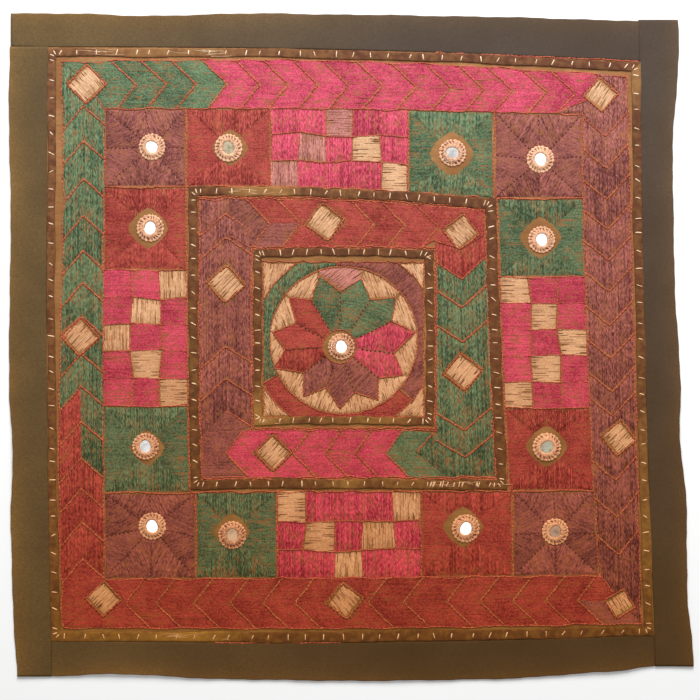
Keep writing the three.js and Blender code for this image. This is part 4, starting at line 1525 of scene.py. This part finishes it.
# How far the tone darkens in the troughs and the slots: partly the brown ground in the holes, partly painted
# shade.
TROUGH_DARK = 0.1
TROUGH_DEPTH = 0.15 * MM
SLOT_DEPTH = 0.7 * MM
SLOT_DARK = 1.5
SLOT_POWER = 2
SLOT_LEAST = 0.35
SCALLOP = 0.9 * MM
# How uneven the loops are, in radians of a loop, and how the lip wanders: waves that turn with the angle
# round the ring and with two chance numbers of its own.
LOOPS_UNEVEN = [{"height": 0.9, "turns": (3, 1, 0)}, {"height": 0.7, "turns": (5, 0, 1)}]
LIP_WANDER = [{"height": 0.45 * MM, "turns": (2, 0, 1)}, {"height": 0.18 * MM, "turns": (3, 1, 0)}]
# The ring's section from its outer foot over to the glass, in columns: the distance from the mirror's
# middle and the height over the cloth in millimetres, how far it follows the scallops and the lip's wander,
# how deep the slots between the loops go there, and how far they have leant by then, as a share of a loop.
RING_SECTION = {
    "out": np.array((14.5, 14.4, 13.9, 13.2, 12.6, 12.0, 11.3, 10.6, 9.9, 9.2, 8.4, 7.4, 6.4, 5.9)) * MM,
    "up": np.array((0.0, 0.5, 0.9, 1.0, 1.05, 1.1, 1.15, 1.4, 1.7, 1.95, 2.1, 2.15, 1.95, 1.4)) * MM,
    "scallop": np.array((1, 1, 1, 0.9, 0.6, 0.2, 0, 0, 0, 0, 0, 0, 0, 0)),
    "lip": np.array((0, 0, 0, 0, 0, 0, 0, 0, 0, 0.2, 0.5, 0.8, 1, 1)),
    "slot": np.array((0, 0, 0, 0, 0.7, 1, 1, 0.9, 0.6, 0.2, 0, 0, 0, 0)),
    "lean": np.array((0, 0, 0, 0, 0, 0.08, 0.18, 0.28, 0.38, 0.48, 0.5, 0.5, 0.5, 0.5)),
}


def ring_sections():
    """The section carried round every mirror. Each loop is one uneven wave round the ring. Its trough draws
    the edge in and, raised to a power, sinks a slot that leans as it runs in, as deep as chance has it. The
    lip wanders by two slow waves. With them, a tone that is darker in the troughs and darkest in the slots,
    partly the ground in the holes and partly painted shade, and the place along the fibres, which run out
    from the glass."""
    column = RING_SECTION
    count = len(MIRRORS)
    turn = np.linspace(0, 2 * np.pi, RING_LOOPS * RING_STEPS_PER_LOOP, endpoint=False)
    shift = chance.uniform(0, 2 * np.pi, (3, count, 1))
    phase = RING_LOOPS * turn + wavy(LOOPS_UNEVEN, turn, shift[0], shift[1]) + shift[2]
    trough = (0.5 - 0.5 * np.cos(phase))[..., None]
    leant = phase[..., None] + 2 * np.pi * column["lean"]
    loop = (leant // (2 * np.pi)).astype(int) % RING_LOOPS
    depth = chance.uniform(SLOT_LEAST, 1, (count, RING_LOOPS))
    depth = np.take_along_axis(depth[:, None], loop.reshape(count, 1, -1), 2).reshape(loop.shape)
    slot = column["slot"] * depth * (0.5 - 0.5 * np.cos(leant)) ** SLOT_POWER
    lip = wavy(LIP_WANDER, turn, shift[0], shift[1])[..., None]
    out = column["out"] * chance.uniform(*RING_SIZES, (count, 1, 1))
    out = out - SCALLOP * column["scallop"] * trough + column["lip"] * lip
    up = column["up"] - SLOT_DEPTH * slot - TROUGH_DEPTH * trough * (column["scallop"] > 0)
    way = np.stack([np.cos(turn), np.sin(turn)], -1)
    middles = mirror_middles + chance.normal(0, RING_WANDER, mirror_middles.shape)
    flat = middles[:, None, None] + way[None, :, None] * out[..., None]
    foot = lie(mirror_middles[:, 0], mirror_middles[:, 1])[:, None, None]
    apart = (turn * RING_FIBRES)[:, None] + np.arange(count)[:, None, None]
    fibre = np.broadcast_arrays(out, PLAIN_PAINTED_GLINT, apart)
    tone = RING_TONE - TROUGH_DARK * trough - SLOT_DARK * slot
    return np.concatenate([flat, (foot + up)[..., None]], -1), tone, np.stack(fibre, -1)


ring_thread = thread_finish("ring_thread", RING_SHADOW, RING_CREAM, roughness=0.6, gloss=0.25)
sections, tones, fibre = ring_sections()
shape = carried(sections, closed_path=True, flat_back=True)
rings = new_piece("thread_rings", shape, ring_thread)
mark(rings, "tone", tones + chance.normal(0, RING_TONE_VARIES, (len(MIRRORS), 1, 1)))
mark(rings, "fibre", fibre, "FLOAT_VECTOR", "vector")
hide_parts(*[f"thread_ring_{number + 1:02d}" for number in range(len(MIRRORS))])

# Floor, light and camera
# A plain white floor under the cloth, a broad soft light from the top edge of the cloth, a large one
# overhead that the mirrors reflect, and a camera straight above at the height where the cloth fills the
# frame.
FLOOR_HALF = 4.0
FLOOR_DROP = 0.3 * MM
FLOOR_WHITES = ((248, 248, 247), (252, 252, 252))
CAMERA_LENS = 85
CAMERA_SENSOR = 36
CAMERA_OVER = (-0.001, -0.0035)
FRAME_WIDTH = 0.7
FRAME_HEIGHT_UP = 2 * MM
KEY_LIGHT = {"power": 64, "size": 1.2, "place": (0.1, 1.75, 1.3)}
OVERHEAD_LIGHT = {"power": 14, "size": 1.8, "place": (0, 0, 3.0)}
SKY_STRENGTH = 0.3


def white_floor():
    """White board, very slightly mottled."""
    material, tree, shader = new_finish("white_floor", roughness=0.7, gloss=0.3)
    first, second = (shade(*white) for white in FLOOR_WHITES)
    colour = mixed(tree, cloudy(tree, place_on_cloth(tree), per_metre=3.0), first, second)
    tree.links.new(colour, shader.inputs["Base Color"])
    return material


def area_light(name, power, size, place):
    """A square area light that faces the middle of the cloth."""
    light = bpy.data.lights.new(name, "AREA")
    light.energy = power
    light.size = size
    lamp = bpy.data.objects.new(name, light)
    bpy.context.collection.objects.link(lamp)
    lamp.location = place
    way = np.zeros(3) - place
    lamp.rotation_euler = (np.arctan2(np.hypot(way[0], way[1]), -way[2]), 0, np.arctan2(-way[0], way[1]))


floor_mesh = bpy.data.meshes.new("floor")
floor_corners = np.array([(-1, -1, 0), (1, -1, 0), (1, 1, 0), (-1, 1, 0)]) * FLOOR_HALF
floor_corners[:, 2] = -FLOOR_DROP
floor_mesh.from_pydata(floor_corners.tolist(), [], [(0, 1, 2, 3)])
floor_mesh.materials.append(white_floor())
floor = bpy.data.objects.new("floor", floor_mesh)
bpy.context.collection.objects.link(floor)
area_light("key", **KEY_LIGHT)
area_light("overhead", **OVERHEAD_LIGHT)
world = bpy.data.worlds.new("studio")
world.use_nodes = True
sky = world.node_tree.nodes["Background"]
sky.inputs["Color"].default_value = UNTINTED
sky.inputs["Strength"].default_value = SKY_STRENGTH
bpy.context.scene.world = world
bpy.context.scene.view_settings.view_transform = "Standard"
camera_data = bpy.data.cameras.new("camera")
camera_data.lens = CAMERA_LENS
camera_data.sensor_width = CAMERA_SENSOR
camera = bpy.data.objects.new("camera", camera_data)
bpy.context.collection.objects.link(camera)
camera.location = (*CAMERA_OVER, FRAME_WIDTH * CAMERA_LENS / CAMERA_SENSOR + FRAME_HEIGHT_UP)
bpy.context.scene.camera = camera
